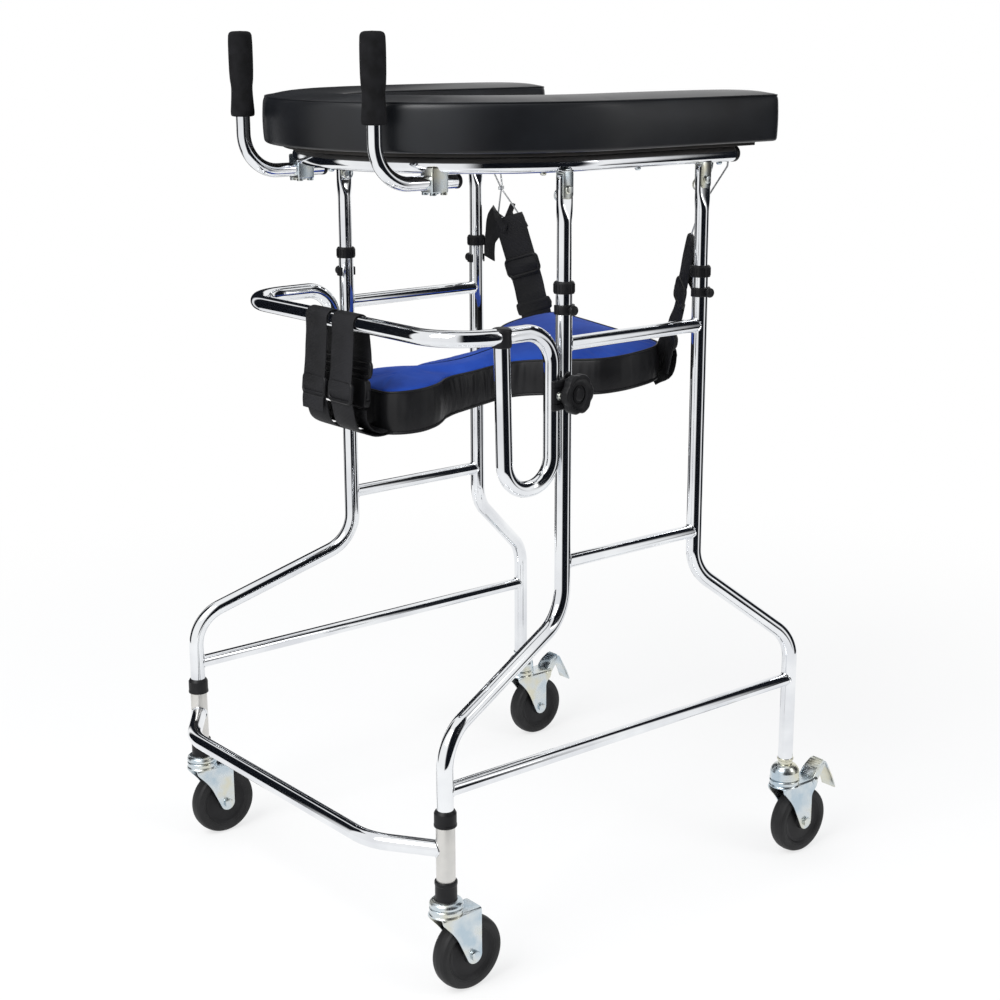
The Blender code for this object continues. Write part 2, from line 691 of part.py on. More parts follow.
def clevis_pin(label, side, end):
    """A headed pin through bracket and tube, with its split ring on the inner side."""
    x, y, z = side * UPRIGHT_HALF, ENDS[end][1], PIN_Z
    outside = TAB_THICKNESS / 2 + TOUCH_GAP + BRACKET_PLATE + TOUCH_GAP
    name = f"{label}_{end}_clevis_pin"
    pin = rod(name, PIN_R, (-outside - 0.006, 0, 0), (outside + 0.002, 0, 0), ZINC, 8)
    join(pin, rod("head", PIN_R * 1.9, (outside, 0, 0), (outside + 0.003, 0, 0), ZINC, 12))
    ring_points = [(-outside - 0.004, py, pz - RING_R) for py, pz in arc((0, 0), RING_R, 90, 450, 36)[:-1]]
    join(pin, tube("ring", ring_points, RING_WIRE_R, ZINC, 4, closed=True))
    turn = Matrix.Rotation(0 if side > 0 else math.pi, 4, "Z")
    place(pin, Matrix.Translation((x, y, z)) @ turn)
    return finish_round(pin)


# Forearm pad on its board
def pad_outline(inset, end_round):
    """A U that is round in front, drawn as one loop from the outer right side to the inner left."""
    outer, inner = PAD_OUTER_HALF - inset, PAD_INNER_HALF + inset
    rear = PAD_REAR_Y - inset
    r = end_round
    points = arc((0, TOP_FRAME_ARC_Y), outer, 0, -180)
    points += arc((-outer + r, rear - r), r, 180, 90, 45) + arc((-inner - r, rear - r), r, 90, 0, 45)
    points += arc((0, TOP_FRAME_ARC_Y), inner, -180, 0)
    points += arc((inner + r, rear - r), r, 180, 90, 45) + arc((outer - r, rear - r), r, 90, 0, 45)
    return points


def arm_pad():
    pad = sheet("arm_pad", pad_outline(0, PAD_CORNER_R), PAD_THICKNESS, PAD_LEATHER)
    bevel(pad, PAD_EDGE_R, 1)
    place(pad, Matrix.Translation((0, 0, PAD_BOTTOM_Z + PAD_THICKNESS / 2)))
    return finish_round(pad)


def pad_board():
    board = sheet("pad_board", pad_outline(BOARD_INSET, PAD_CORNER_R), BOARD_THICKNESS, PLYWOOD)
    z = TOP_FRAME_Z + TUBE_R + TOUCH_GAP + BOARD_THICKNESS / 2
    return place(board, Matrix.Translation((0, 0, z)))


# Hand grips on bent tubes, clamped under the front of the top frame
def handle_tube(label, side):
    x = side * GRIP_HALF
    corners = [(x, GRIP_Y, GRIP_TOP_Z - GRIP_END), (x, GRIP_Y, HANDLE_Z),
               (x, CROSSING_Y + HANDLE_TAIL, HANDLE_Z)]
    path = filleted(corners, HANDLE_BEND_R)
    piece = tube(label + "_handle_tube", path, HANDLE_R, CHROME)
    cut(piece, tube("bore", overshoot(path), HANDLE_R - TUBE_WALL, CHROME, BORE_SIDES))
    return finish_round(piece)


def hand_grip(label, side):
    """A foam sleeve, closed at its top, a little waisted at the palm."""
    bore = around(HANDLE_R)
    top, low = GRIP_TOP_Z, GRIP_TOP_Z - GRIP_LENGTH
    cap = GRIP_TOP_Z - GRIP_END + TOUCH_GAP
    profile = [(0, top), (GRIP_R - 0.003, top), (GRIP_R, top - 0.003), (GRIP_R, top - 0.030),
               (GRIP_R - 0.0012, top - 0.065), (GRIP_R - 0.0016, top - 0.085), (GRIP_R, low + 0.008),
               (GRIP_R, low + 0.002), (GRIP_R - 0.002, low), (bore, low), (bore, cap), (0, cap)]
    piece = turned_solid(label + "_hand_grip", profile, FOAM)
    place(piece, Matrix.Translation((side * GRIP_HALF, GRIP_Y, 0)))
    return finish_round(piece)


def handle_clamp(label, side):
    """A saddle that carries a handle tube under the top frame, with a bolt head on each side."""
    x, y = side * GRIP_HALF, CROSSING_Y
    half = HANDLE_R + CLAMP_WALL
    clamp = block(label + "_handle_clamp", (x - half, y - CLAMP_LENGTH / 2, HANDLE_Z - half),
                  (x + half, y + CLAMP_LENGTH / 2, TOP_FRAME_Z - 0.002), ZINC)
    cut(clamp, rod("handle_bore", around(HANDLE_R), (x, y - 0.05, HANDLE_Z), (x, y + 0.05, HANDLE_Z), ZINC))
    cut(clamp, tube("frame_groove", top_frame_path(), TUBE_R + TOUCH_GAP, ZINC))
    return finish_round(clamp)


# Guard bar, with a loop and its tee on the left only, and the clamps
def clamp_frame(side):
    """The clamp's axis, its forward direction, and the centres of the upright and of the leg ahead of it."""
    angle = math.radians(CLAMP_ANGLE)
    outward = Vector((side * math.cos(angle), math.sin(angle), 0))
    forward = Vector((side * math.sin(angle), -math.cos(angle), 0))
    upright = Vector((side * UPRIGHT_HALF, FRONT_UPRIGHT_Y, 0))
    leg = upright + forward * (2 * TUBE_R + CLAMP_WEB)
    return outward, forward, upright, leg


def guard_path():
    """The bar's line, from its foot on the right to its loop's end on the left, and the tee's centre."""
    outward, forward, upright, leg = clamp_frame(1)
    x = leg.x
    tee_y = leg.y - LOOP_SPACING
    foot = Vector((-x, leg.y, GUARD_FOOT_Z))
    front = [(0, GUARD_FRONT_Y, GUARD_Z), (x, GUARD_FRONT_Y, GUARD_Z), (x, tee_y, GUARD_Z)]
    drop = [(x, tee_y, GUARD_Z), (x, leg.y, GUARD_Z), (x, leg.y, GUARD_FOOT_Z)]
    half = filleted(front, GUARD_CORNER_R)[1:-1] + filleted(drop, LOOP_TOP_R)[1:-1]
    right = [Vector((-point[0], point[1], point[2])) for point in half[::-1]]
    left = [Vector(point) for point in half]
    turn_z = LOOP_BOTTOM_Z + LOOP_SPACING / 2
    middle_y = (leg.y + tee_y) / 2
    loop = [Vector((x, py, pz)) for py, pz in arc((middle_y, turn_z), LOOP_SPACING / 2, 0, -180, 30)]
    return [foot, *right, *left, *loop], Vector((x, tee_y, GUARD_Z))


def guard_bar():
    """One bent tube, open at its foot, whose loop comes back up into the tee."""
    path, tee = guard_path()
    bar = tube("guard_bar", path, TUBE_R, CHROME)
    tail = [path[-1] - Vector((0, 0, TUBE_R)), tee]
    join(bar, tube("loop_end", tail, TUBE_R * 0.995, CHROME))
    ends = [tee + Vector((0, reach, 0)) for reach in (-TEE_LENGTH / 2, TEE_LENGTH / 2)]
    join(bar, rod("tee", TEE_R, *ends, CHROME))
    bore_path = [path[0] - Vector((0, 0, TUBE_R)), *path[1:], path[-1] + Vector((0, 0, TUBE_R))]
    cut(bar, tube("bore", bore_path, BORE_R, CHROME, BORE_SIDES))
    return finish_round(bar)


def clamp_jaw(label, side):
    """A plastic block round the upright, whose two lips hold the guard's leg ahead of it."""
    outward, forward, upright, leg = clamp_frame(side)
    across = Vector((-outward.y, outward.x, 0))
    sense = round(forward.dot(across))
    half_wide = TUBE_R + JAW_WALL
    reach = (leg - upright).length + JAW_LIP
    low, high = sorted((-sense * half_wide, sense * reach))
    jaw = block(label + "_clamp_jaw", (-half_wide, low, -JAW_HEIGHT / 2),
                (half_wide, high, JAW_HEIGHT / 2), BLACK_PLASTIC)
    bevel(jaw, JAW_EDGE_R, 1, 80)
    turn = Matrix((outward, across, (0, 0, 1))).transposed().to_4x4()
    place(jaw, Matrix.Translation((upright.x, upright.y, GUARD_CLAMP_Z)) @ turn)
    for centre in (upright, leg):
        cut(jaw, rod("bore", around(TUBE_R), (centre.x, centre.y, GUARD_CLAMP_Z - JAW_HEIGHT),
                     (centre.x, centre.y, GUARD_CLAMP_Z + JAW_HEIGHT), BLACK_PLASTIC))
    start = upright + Vector((0, 0, GUARD_CLAMP_Z))
    cut(jaw, rod("stud_hole", around(STUD_R, 8), start, start + outward * 0.04, BLACK_PLASTIC, 8))
    return finish_round(jaw)


def clamp_knob(label, side):
    """A lobed hand knob on a short stud, turning about the clamp's axis."""
    outward, forward, upright, leg = clamp_frame(side)
    face = TUBE_R + JAW_WALL + TOUCH_GAP
    steps = KNOB_LOBES * 4
    outline = []
    for i in range(steps):
        a = 2 * math.pi * i / steps
        r = KNOB_R - KNOB_LOBE_DEPTH * (0.5 - 0.5 * math.cos(KNOB_LOBES * a))
        outline.append((r * math.cos(a), r * math.sin(a)))
    knob = sheet(label + "_clamp_knob", outline, KNOB_DEPTH, BLACK_PLASTIC)
    bevel(knob, 0.002, 1, 60)
    place(knob, Matrix.Translation((0, 0, face + 0.003 + KNOB_DEPTH / 2)))
    join(knob, rod("neck", KNOB_NECK_R, (0, 0, face), (0, 0, face + 0.005), BLACK_PLASTIC))
    join(knob, rod("stud", STUD_R, (0, 0, TUBE_R + 2 * TOUCH_GAP), (0, 0, face + 0.004), BLACK_PLASTIC, 8))
    turn = outward.to_track_quat("Z", "Y").to_matrix().to_4x4()
    centre = upright + Vector((0, 0, GUARD_CLAMP_Z))
    place(knob, Matrix.Translation(centre) @ turn)
    return finish_round(set_origin(knob, centre))


# Seat and straps
def seat_cushion():
    """A saddle drawn flat: a front lobe, a waist and a wide rear lobe, then tipped up towards the rear."""
    stations = [(0.0, 0.62 * SEAT_FRONT_HALF), (0.05, 0.88 * SEAT_FRONT_HALF), (0.13, SEAT_FRONT_HALF),
                (0.22, 0.86 * SEAT_FRONT_HALF), (0.32, 1.12 * SEAT_WAIST_HALF), (0.41, SEAT_WAIST_HALF),
                (0.50, 1.9 * SEAT_WAIST_HALF), (0.60, 0.83 * SEAT_REAR_HALF),
                (0.70, 0.985 * SEAT_REAR_HALF),
                (0.80, SEAT_REAR_HALF), (0.90, 0.95 * SEAT_REAR_HALF), (0.97, 0.80 * SEAT_REAR_HALF),
                (1.0, 0.60 * SEAT_REAR_HALF)]
    length = SEAT_REAR_Y - SEAT_FRONT_Y
    right = [(half, SEAT_FRONT_Y + t * length) for t, half in stations]
    left = [(-x, y) for x, y in right[::-1]]
    seat = sheet("seat_cushion", right + left, SEAT_THICKNESS, SEAT_CLOTH)
    bevel(seat, SEAT_EDGE_R, 1, 60)
    rise = math.atan2(SEAT_REAR_TOP_Z - SEAT_FRONT_TOP_Z, length)
    middle = Vector((0, (SEAT_FRONT_Y + SEAT_REAR_Y) / 2, 0))
    height = (SEAT_FRONT_TOP_Z + SEAT_REAR_TOP_Z) / 2 - SEAT_THICKNESS / 2
    turn = Matrix.Rotation(rise, 4, "X")
    place(seat, Matrix.Translation(middle + Vector((0, 0, height))) @ turn @ Matrix.Translation(-middle))
    return finish_round(seat)


def front_strap(label, side):
    """A webbing loop over the guard bar, from under the seat to the seat's nose."""
    t = STRAP_THICKNESS
    reach = TUBE_R + 3 * TOUCH_GAP + t / 2
    under = SEAT_FRONT_TOP_Z - SEAT_THICKNESS - STRAP_CLEARANCE - t / 2
    over_bar = arc((GUARD_FRONT_Y, GUARD_Z), reach, 190, 0, 30)
    outer_ply = [(SEAT_FRONT_Y + dy, under + dz) for dy, dz in OUTER_PLY_RUN]
    inner_ply = [(SEAT_FRONT_Y + dy, SEAT_FRONT_TOP_Z + dz) for dy, dz in INNER_PLY_RUN]
    outline = ribbon_outline(outer_ply + over_bar + inner_ply, t)
    return plate_yz(label + "_front_strap", outline, side * STRAP_PITCH / 2, STRAP_WIDTH, WEBBING)


def rear_strap_frame(side):
    """The rear strap's line and its broad direction, from the hanger's joint to the strap's foot."""
    joint = Vector((side * HANGER_JOINT[0], *HANGER_JOINT[1:]))
    foot = Vector((side * STRAP_FOOT[0], *STRAP_FOOT[1:]))
    down = foot - joint
    broad = Vector((down.x, down.y, 0)).normalized()
    normal = Vector((broad.y, -broad.x, 0)) * side
    return joint, down, broad, normal


def strap_ply(name, side, top_z, low_z, offset):
    """One ply of a rear strap between two heights, set off from the strap's middle plane."""
    joint, down, broad, normal = rear_strap_frame(side)
    line = down.normalized()
    flat = Vector((broad.x, broad.y, 0))
    across = (flat - line * flat.dot(line)).normalized()
    ends = [joint + down * ((z - joint.z) / down.z) for z in (top_z, low_z)]
    length = (ends[1] - ends[0]).length
    ply = block(name, (-STRAP_WIDTH / 2, -length / 2, -STRAP_THICKNESS / 2),
                (STRAP_WIDTH / 2, length / 2, STRAP_THICKNESS / 2), WEBBING)
    facing = across.cross(line)
    turn = Matrix((across, line, facing)).transposed().to_4x4()
    middle = (ends[0] + ends[1]) / 2 + normal * offset
    return place(ply, Matrix.Translation(middle) @ turn)


def rear_strap(label, side):
    """The lower ply of a rear strap, which belongs to the seat."""
    offset = WIRE_R + TOUCH_GAP + STRAP_THICKNESS
    return strap_ply(label + "_rear_strap", side, LOWER_PLY_TOP_Z, STRAP_FOOT[2] - 0.012, -offset)


def rear_hanger(label, side):
    """The wire that hooks into the top frame, with the strap's upper ply sewn round its base."""
    joint, down, broad, normal = rear_strap_frame(side)
    top = TOP_FRAME_Z - TUBE_R - 0.001 + 0.0045
    hooks = [(side * UPRIGHT_HALF, joint.y + dy, top) for dy in (-HANGER_SPREAD / 2, HANGER_SPREAD / 2)]
    knees = [(px, py, TOP_FRAME_Z - TUBE_R - 0.006) for px, py, pz in hooks]
    upper = [hooks[0], knees[0], tuple(joint), knees[1], hooks[1]]
    hanger = tube(label + "_rear_hanger", upper, WIRE_R, ZINC, 6)
    base = joint + down * ((HANGER_TRIANGLE_Z - joint.z) / down.z)
    half = broad * (STRAP_WIDTH / 2 - 0.004)
    corners = [joint + Vector((0, 0, 0.001)), base + half, base - half]
    join(hanger, tube("triangle", corners, WIRE_R, ZINC, 6, closed=True))
    join(hanger, strap_ply("upper_ply", side, HANGER_TRIANGLE_Z + 0.002, UPPER_PLY_BOTTOM_Z, 0))
    return hanger


# Casters
def caster_stem(label, side, end):
    """The fixed half of a caster: bearing cup, shoulder and the socket that plugs into the leg."""
    y = ENDS[end][0]
    plug = within(BORE_R)
    foot = LEG_BOTTOM_Z - TOUCH_GAP
    if end == "front":
        collar = SLEEVE_R + COLLAR_WALL
        shoulder = [(collar - 0.001, foot), (collar, foot - 0.001), (collar, CUP_TOP_Z + 0.001),
                    (CUP_SHOULDER_R + 0.004, CUP_TOP_Z)]
    else:
        shoulder = [(CUP_SHOULDER_R, foot), (CUP_SHOULDER_R + 0.004, foot - 0.008),
                    (RACE_R - 0.004, CUP_TOP_Z + 0.002)]
    profile = [(0, STEM_TOP_Z), (plug - 0.001, STEM_TOP_Z), (plug, STEM_TOP_Z - 0.001), (plug, foot)]
    profile += [*shoulder, (RACE_R, CUP_TOP_Z - 0.002), (RACE_R, CUP_BOTTOM_Z), (0, CUP_BOTTOM_Z)]
    piece = turned_solid(f"{label}_{end}_caster_stem", profile, BLACK_PLASTIC if end == "front" else ZINC)
    place(piece, Matrix.Translation((side * BASE_HALF, y, 0)))
    return finish_round(piece)


def fork_side(end):
    """The outline of one fork plate in (y, z), measured from the swivel axis."""
    eye = arc((TRAIL, WHEEL_R), FORK_EYE_R, 0, -150, 50)
    outline = [(-FORK_NOSE, FORK_TOP_Z), (-FORK_NOSE, FORK_TOP_Z - 0.007), *eye[::-1]]
    if end == "rear":
        horn = FORK_TAIL + FORK_HORN
        outline += [(FORK_TAIL, FORK_TOP_Z - 2 * FORK_HORN), (horn, FORK_TOP_Z - FORK_HORN),
                    (horn, FORK_TOP_Z)]
    else:
        outline += [(FORK_TAIL, FORK_TOP_Z)]
    return outline


def caster_fork(label, side, end):
    """A pressed yoke: lower race, top plate and two plates down to the axle."""
    name = f"{label}_{end}_caster_fork"
    outline = fork_side(end)
    outer = FORK_GAP / 2 + FORK_PLATE
    top, low, race_top = FORK_TOP_Z, FORK_TOP_Z - FORK_PLATE, FORK_TOP_Z + RACE_HEIGHT
    fork = block(name, (-outer, -FORK_NOSE, low), (outer, FORK_TOP_TAIL, top), ZINC)
    for x in (-1, 1):
        join(fork, plate_yz("plate", outline, x * (FORK_GAP + FORK_PLATE) / 2, FORK_PLATE, ZINC))
    race = [(0, race_top), (RACE_R - 0.002, race_top), (RACE_R, race_top - 0.002), (RACE_R, top + 0.001),
            (RACE_R - 0.003, low), (0, low)]
    join(fork, turned_solid("race", race, ZINC))
    cut(fork, rod("axle_hole", around(AXLE_R, 8), (-0.03, TRAIL, WHEEL_R), (0.03, TRAIL, WHEEL_R), ZINC, 8))
    if end == "rear":
        y, z = PEDAL_PIVOT
        cut(fork, rod("pivot_hole", around(PIN_R, 8), (-0.03, y, z), (0.03, y, z), ZINC, 8))
    centre = (side * BASE_HALF, ENDS[end][0], 0)
    place(fork, Matrix.Translation(centre))
    return finish_round(set_origin(fork, centre))


def caster_axle(label, side, end):
    """A bolt through fork and wheel, with a round head at each end."""
    outer = FORK_GAP / 2 + FORK_PLATE + TOUCH_GAP
    head = AXLE_R + 0.0025
    half = [(AXLE_R, outer), (head, outer), (head, outer + 0.003), (head - 0.0015, outer + 0.004)]
    profile = [(0, outer + 0.004), *half[::-1], *[(r, -z) for r, z in half], (0, -outer - 0.004)]
    piece = turned_solid(f"{label}_{end}_caster_axle", profile, ZINC, 8)
    turn = Matrix.Rotation(math.pi / 2, 4, "Y")
    place(piece, Matrix.Translation((side * BASE_HALF, ENDS[end][0] + TRAIL, WHEEL_R)) @ turn)
    return finish_round(piece)


def caster_wheel(label, side, end):
    """Tyre, web and hub in one, bored for the axle, with a flat of its tread on the floor."""
    bore = AXLE_R + AXLE_GAP
    hub, tyre = HUB_WIDTH / 2, WHEEL_WIDTH / 2
    tread = WHEEL_R / math.cos(math.pi / WHEEL_SIDES)
    web = tyre - WEB_RECESS
    half = [(bore, hub), (HUB_R, web), (RIM_R, web), (tread - TYRE_ROUND, tyre), (tread, tyre - TYRE_ROUND)]
    profile = half + [(r, -z) for r, z in half[::-1]]
    piece = turned(f"{label}_{end}_caster_wheel", profile, TYRE, WHEEL_SIDES)
    turn = Matrix.Rotation(math.pi / 2, 4, "Y") @ Matrix.Rotation(math.pi / WHEEL_SIDES, 4, "Z")
    centre = (side * BASE_HALF, ENDS[end][0] + TRAIL, WHEEL_R)
    place(piece, Matrix.Translation(centre) @ turn)
    return finish_round(set_origin(piece, centre), 30)


def brake_pedal(label, side):
    """A bent lever on a rear fork: shoe over the tyre, tread above and release lip behind."""
    y, z = PEDAL_PIVOT
    profile = ribbon_outline([(y + dy, z + dz) for dy, dz in PEDAL_PROFILE], PEDAL_PLATE)
    pedal = plate_yz(label + "_brake_pedal", profile, 0, PEDAL_WIDTH, ZINC)
    half = FORK_GAP / 2 + FORK_PLATE
    join(pedal, rod("pivot", PIN_R, (-half, y, z), (half, y, z), ZINC, 8))
    centre = Vector((side * BASE_HALF, REAR_LEG_Y, 0))
    place(pedal, Matrix.Translation(centre))
    return finish_round(set_origin(pedal, centre + Vector((0, y, z))))


# The whole frame
def build():
    for label, side in SIDES.items():
        side_frame(label, side)
        sleeve_collar(label, side)
        for end in ENDS:
            upright_bush(label, side, end)
            height_clip(label, side, end)
            inner_tube(label, side, end)
            clevis_pin(label, side, end)
            caster_stem(label, side, end)
            caster_fork(label, side, end)
            caster_axle(label, side, end)
            caster_wheel(label, side, end)
        brake_pedal(label, side)
        handle_tube(label, side)
        hand_grip(label, side)
        handle_clamp(label, side)
        clamp_jaw(label, side)
        clamp_knob(label, side)
        front_strap(label, side)
        rear_strap(label, side)
        rear_hanger(label, side)
    front_bar()
    top_frame()
    arm_pad()
    pad_board()
    guard_bar()
    seat_cushion()


build()
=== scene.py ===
# %% [markdown]
# # Standing and walking frame with a forearm pad and a sling saddle
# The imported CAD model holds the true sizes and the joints. This file is the lesson on its looks: each
# cell explains one piece or finish, then makes it in metres, in the same frame as the CAD model, and
# lets it ride on the body that carries it.

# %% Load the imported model
import json
import math
import random

import bmesh
import bpy
from mathutils import Matrix, Vector

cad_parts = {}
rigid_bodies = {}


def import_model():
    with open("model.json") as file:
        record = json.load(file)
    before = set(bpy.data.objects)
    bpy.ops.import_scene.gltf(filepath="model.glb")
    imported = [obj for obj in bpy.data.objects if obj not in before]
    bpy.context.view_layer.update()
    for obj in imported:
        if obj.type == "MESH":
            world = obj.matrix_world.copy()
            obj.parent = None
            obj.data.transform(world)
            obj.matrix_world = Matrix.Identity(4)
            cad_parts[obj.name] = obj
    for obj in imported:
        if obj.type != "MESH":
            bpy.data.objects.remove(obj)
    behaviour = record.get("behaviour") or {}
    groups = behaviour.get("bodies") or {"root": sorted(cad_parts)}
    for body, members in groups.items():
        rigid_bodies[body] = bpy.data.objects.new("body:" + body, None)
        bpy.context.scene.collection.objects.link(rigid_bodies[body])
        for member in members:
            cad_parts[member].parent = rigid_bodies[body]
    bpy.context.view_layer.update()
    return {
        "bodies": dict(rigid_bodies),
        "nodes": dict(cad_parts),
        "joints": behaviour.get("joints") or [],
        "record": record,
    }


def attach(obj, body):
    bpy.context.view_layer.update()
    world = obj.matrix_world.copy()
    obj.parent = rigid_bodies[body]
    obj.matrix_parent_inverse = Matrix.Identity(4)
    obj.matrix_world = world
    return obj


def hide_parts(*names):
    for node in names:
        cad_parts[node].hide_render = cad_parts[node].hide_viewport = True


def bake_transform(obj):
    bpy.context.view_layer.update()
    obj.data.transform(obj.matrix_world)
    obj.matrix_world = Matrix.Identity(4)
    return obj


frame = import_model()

SIDES = {"left": 1, "right": -1}

# %% [markdown]
# ## Camera
# The view is that of the photograph: from the front left, a little above the forearm pad and looking
# down by 14.7 degrees. Position, turn and lens were found by matching wheels, uprights and pad to it.
# A square image 1000 pixels wide and a 36 mm sensor turn a focal length in pixels into millimetres.

# %% Camera
CAMERA_PLACE = (1.987, -1.6116, 1.218)
CAMERA_YAW, CAMERA_PITCH, CAMERA_ROLL = 50.85, 14.70, -0.18
FOCAL_PIXELS, IMAGE_PIXELS, SENSOR_MM = 1796, 1000, 36
WORKSHOP = bpy.context.scene.collection


def shift(x, y, z):
    """A move along the three axes, in metres."""
    return Matrix.Translation((x, y, z))


def rotation(degrees, axis):
    """A turn about one axis."""
    return Matrix.Rotation(math.radians(degrees), 4, axis)


camera_data = bpy.data.cameras.new("photo_camera")
camera_data.sensor_width = SENSOR_MM
camera_data.lens = FOCAL_PIXELS * SENSOR_MM / IMAGE_PIXELS
camera = bpy.data.objects.new("photo_camera", camera_data)
WORKSHOP.objects.link(camera)
turn = rotation(CAMERA_YAW, "Z") @ rotation(90 - CAMERA_PITCH, "X")
camera.matrix_world = shift(*CAMERA_PLACE) @ turn @ rotation(CAMERA_ROLL, "Z")
bpy.context.scene.camera = camera
bpy.context.scene.view_settings.view_transform = "Standard"
print("lens", round(camera_data.lens, 2), "mm")

# %% [markdown]
# ## Colours and nodes
# A hex colour is what a screen shows. A shader works with linear light, so every colour goes through
# one function. A second function adds a node with its settings and its links, for shaders and for
# Geometry Nodes alike, so that a finish or a shape reads as a short list.

# %% Colour and node helpers
def linear(hex_colour):
    """A screen's hex colour as the linear RGBA of a shader's socket."""
    channels = [int(hex_colour[i:i + 2], 16) / 255 for i in (0, 2, 4)]
    return (*[c / 12.92 if c <= 0.04045 else ((c + 0.055) / 1.055) ** 2.4 for c in channels], 1.0)


def add_node(tree, kind, settings=None, inputs=None):
    """A new node. Each input is a plain value or another node's output, by the socket's name or number."""
    node = tree.nodes.new(kind)
    for name, value in (settings or {}).items():
        setattr(node, name, value)
    for socket, value in (inputs or {}).items():
        if isinstance(value, bpy.types.NodeSocket):
            tree.links.new(value, node.inputs[socket])
        else:
            node.inputs[socket].default_value = value
    return node


def ramp(tree, factor, stops):
    """A colour ramp through (position, hex colour) stops."""
    node = add_node(tree, "ShaderNodeValToRGB", {}, {"Fac": factor})
    elements = node.color_ramp.elements
    elements[0].position, elements[0].color = stops[0][0], linear(stops[0][1])
    elements[1].position, elements[1].color = stops[-1][0], linear(stops[-1][1])
    for position, colour in stops[1:-1]:
        elements.new(position).color = linear(colour)
    return node.outputs["Color"]


def spread(tree, factor, low, high, start=0.0, stop=1.0, easing="LINEAR"):
    """A factor's range from start to stop, stretched between two numbers."""
    node = add_node(tree, "ShaderNodeMapRange", {"interpolation_type": easing},
                    {"Value": factor, "From Min": start, "From Max": stop, "To Min": low, "To Max": high})
    return node.outputs["Result"]


def maths(tree, operation, *numbers):
    """The result of an operation on plain numbers or on other nodes' outputs."""
    return add_node(tree, "ShaderNodeMath", {"operation": operation}, dict(enumerate(numbers))).outputs[0]


def mixed(tree, share, one, two):
    """Two shader nodes mixed by a share."""
    sockets = {0: share, 1: one.outputs[0], 2: two.outputs[0]}
    return add_node(tree, "ShaderNodeMixShader", {}, sockets).outputs[0]


def blank_material(name):
    """A material with an empty node tree."""
    made = bpy.data.materials.new(name)
    made.use_nodes = True
    made.node_tree.nodes.clear()
    return made


# %% [markdown]
# ## Floor, light and background
# The object stands on a pale floor in a white studio. A wide lamp above and to the left of the camera
# gives the soft key light, a weaker one fills from the right, and the world lights the rest. Chrome
# shows what stands round it, so plain white all round would leave it flat. As a photographer would,
# dark cards stand outside the picture. They are seen only in reflections, and give each tube
# its dark streak. The floor and the world turn to white for the camera, for reflections and for
# light through glass. Near the object the floor keeps part of its shading, so the shadow stays.

# %% Floor, world, cards and lamps
def seen_directly(tree):
    """1 for camera, glossy and transmission rays, and 0 for light on its way to a matt surface."""
    path = add_node(tree, "ShaderNodeLightPath").outputs
    first = maths(tree, "MAXIMUM", path["Is Camera Ray"], path["Is Glossy Ray"])
    return maths(tree, "MAXIMUM", first, path["Is Transmission Ray"])


FLOOR_KEEPS_SHADE, SHADE_NEAR, SHADE_FAR = 0.30, 0.7, 2.2
WORLD_LIGHT = 0.70

floor_material = blank_material("studio_floor")
tree = floor_material.node_tree
matt = add_node(tree, "ShaderNodeBsdfDiffuse", {}, {"Color": linear("F4F4F4")})
glow = add_node(tree, "ShaderNodeEmission", {}, {"Color": linear("FFFFFF"), "Strength": 1.0})
distance = add_node(tree, "ShaderNodeVectorMath", {"operation": "LENGTH"},
                    {0: add_node(tree, "ShaderNodeTexCoord").outputs["Object"]})
glow_share = spread(tree, distance.outputs["Value"], 1 - FLOOR_KEEPS_SHADE, 1.0,
                    SHADE_NEAR, SHADE_FAR, "SMOOTHSTEP")
share = maths(tree, "MULTIPLY", seen_directly(tree), glow_share)
add_node(tree, "ShaderNodeOutputMaterial", {}, {"Surface": mixed(tree, share, matt, glow)})

world = bpy.data.worlds.new("white_studio")
bpy.context.scene.world = world
world.use_nodes = True
tree = world.node_tree
tree.nodes.clear()
air = add_node(tree, "ShaderNodeBackground", {}, {"Color": linear("F7F9FC"), "Strength": WORLD_LIGHT})
white = add_node(tree, "ShaderNodeBackground", {}, {"Color": linear("FFFFFF"), "Strength": 1.0})
add_node(tree, "ShaderNodeOutputWorld", {}, {"Surface": mixed(tree, seen_directly(tree), air, white)})


def stage_mesh(name, points, faces, material):
    """A mesh that belongs to the studio and not to the object."""
    mesh = bpy.data.meshes.new(name)
    mesh.from_pydata(points, [], faces)
    mesh.materials.append(material)
    made = bpy.data.objects.new(name, mesh)
    WORKSHOP.objects.link(made)
    return made


def rectangle(half_x, half_y):
    """The corners of a rectangle round the origin."""
    return [(-half_x, -half_y), (half_x, -half_y), (half_x, half_y), (-half_x, half_y)]


FLOOR_HALF = 14.0
floor_corners = [(x, y, 0) for x, y in rectangle(FLOOR_HALF, FLOOR_HALF)]
stage_mesh("studio_floor", floor_corners, [(0, 1, 2, 3)], floor_material)

CARD_SOFT_EDGE, CARD_STEPS = 0.16, 12
card_material = bpy.data.materials.new("black_card")
card_material.use_nodes = True
tree = card_material.node_tree
card_shader = tree.nodes["Principled BSDF"]
card_shader.inputs["Base Color"].default_value = linear("17191E")
card_shader.inputs["Roughness"].default_value = 1.0
card_shader.inputs["Specular IOR Level"].default_value = 0.0
# The card fades out towards its two upright edges, so that the streaks have soft borders
card_map = add_node(tree, "ShaderNodeUVMap", {"uv_map": "card"})
width_map = add_node(tree, "ShaderNodeSeparateXYZ", {}, {0: card_map.outputs[0]})
from_edge = maths(tree, "PINGPONG", width_map.outputs["X"], 0.5)
solid = spread(tree, from_edge, 0.0, 1.0, 0.0, CARD_SOFT_EDGE, "SMOOTHSTEP")
card_mix = mixed(tree, solid, add_node(tree, "ShaderNodeBsdfTransparent"), card_shader)
tree.links.new(card_mix, tree.nodes["Material Output"].inputs["Surface"])


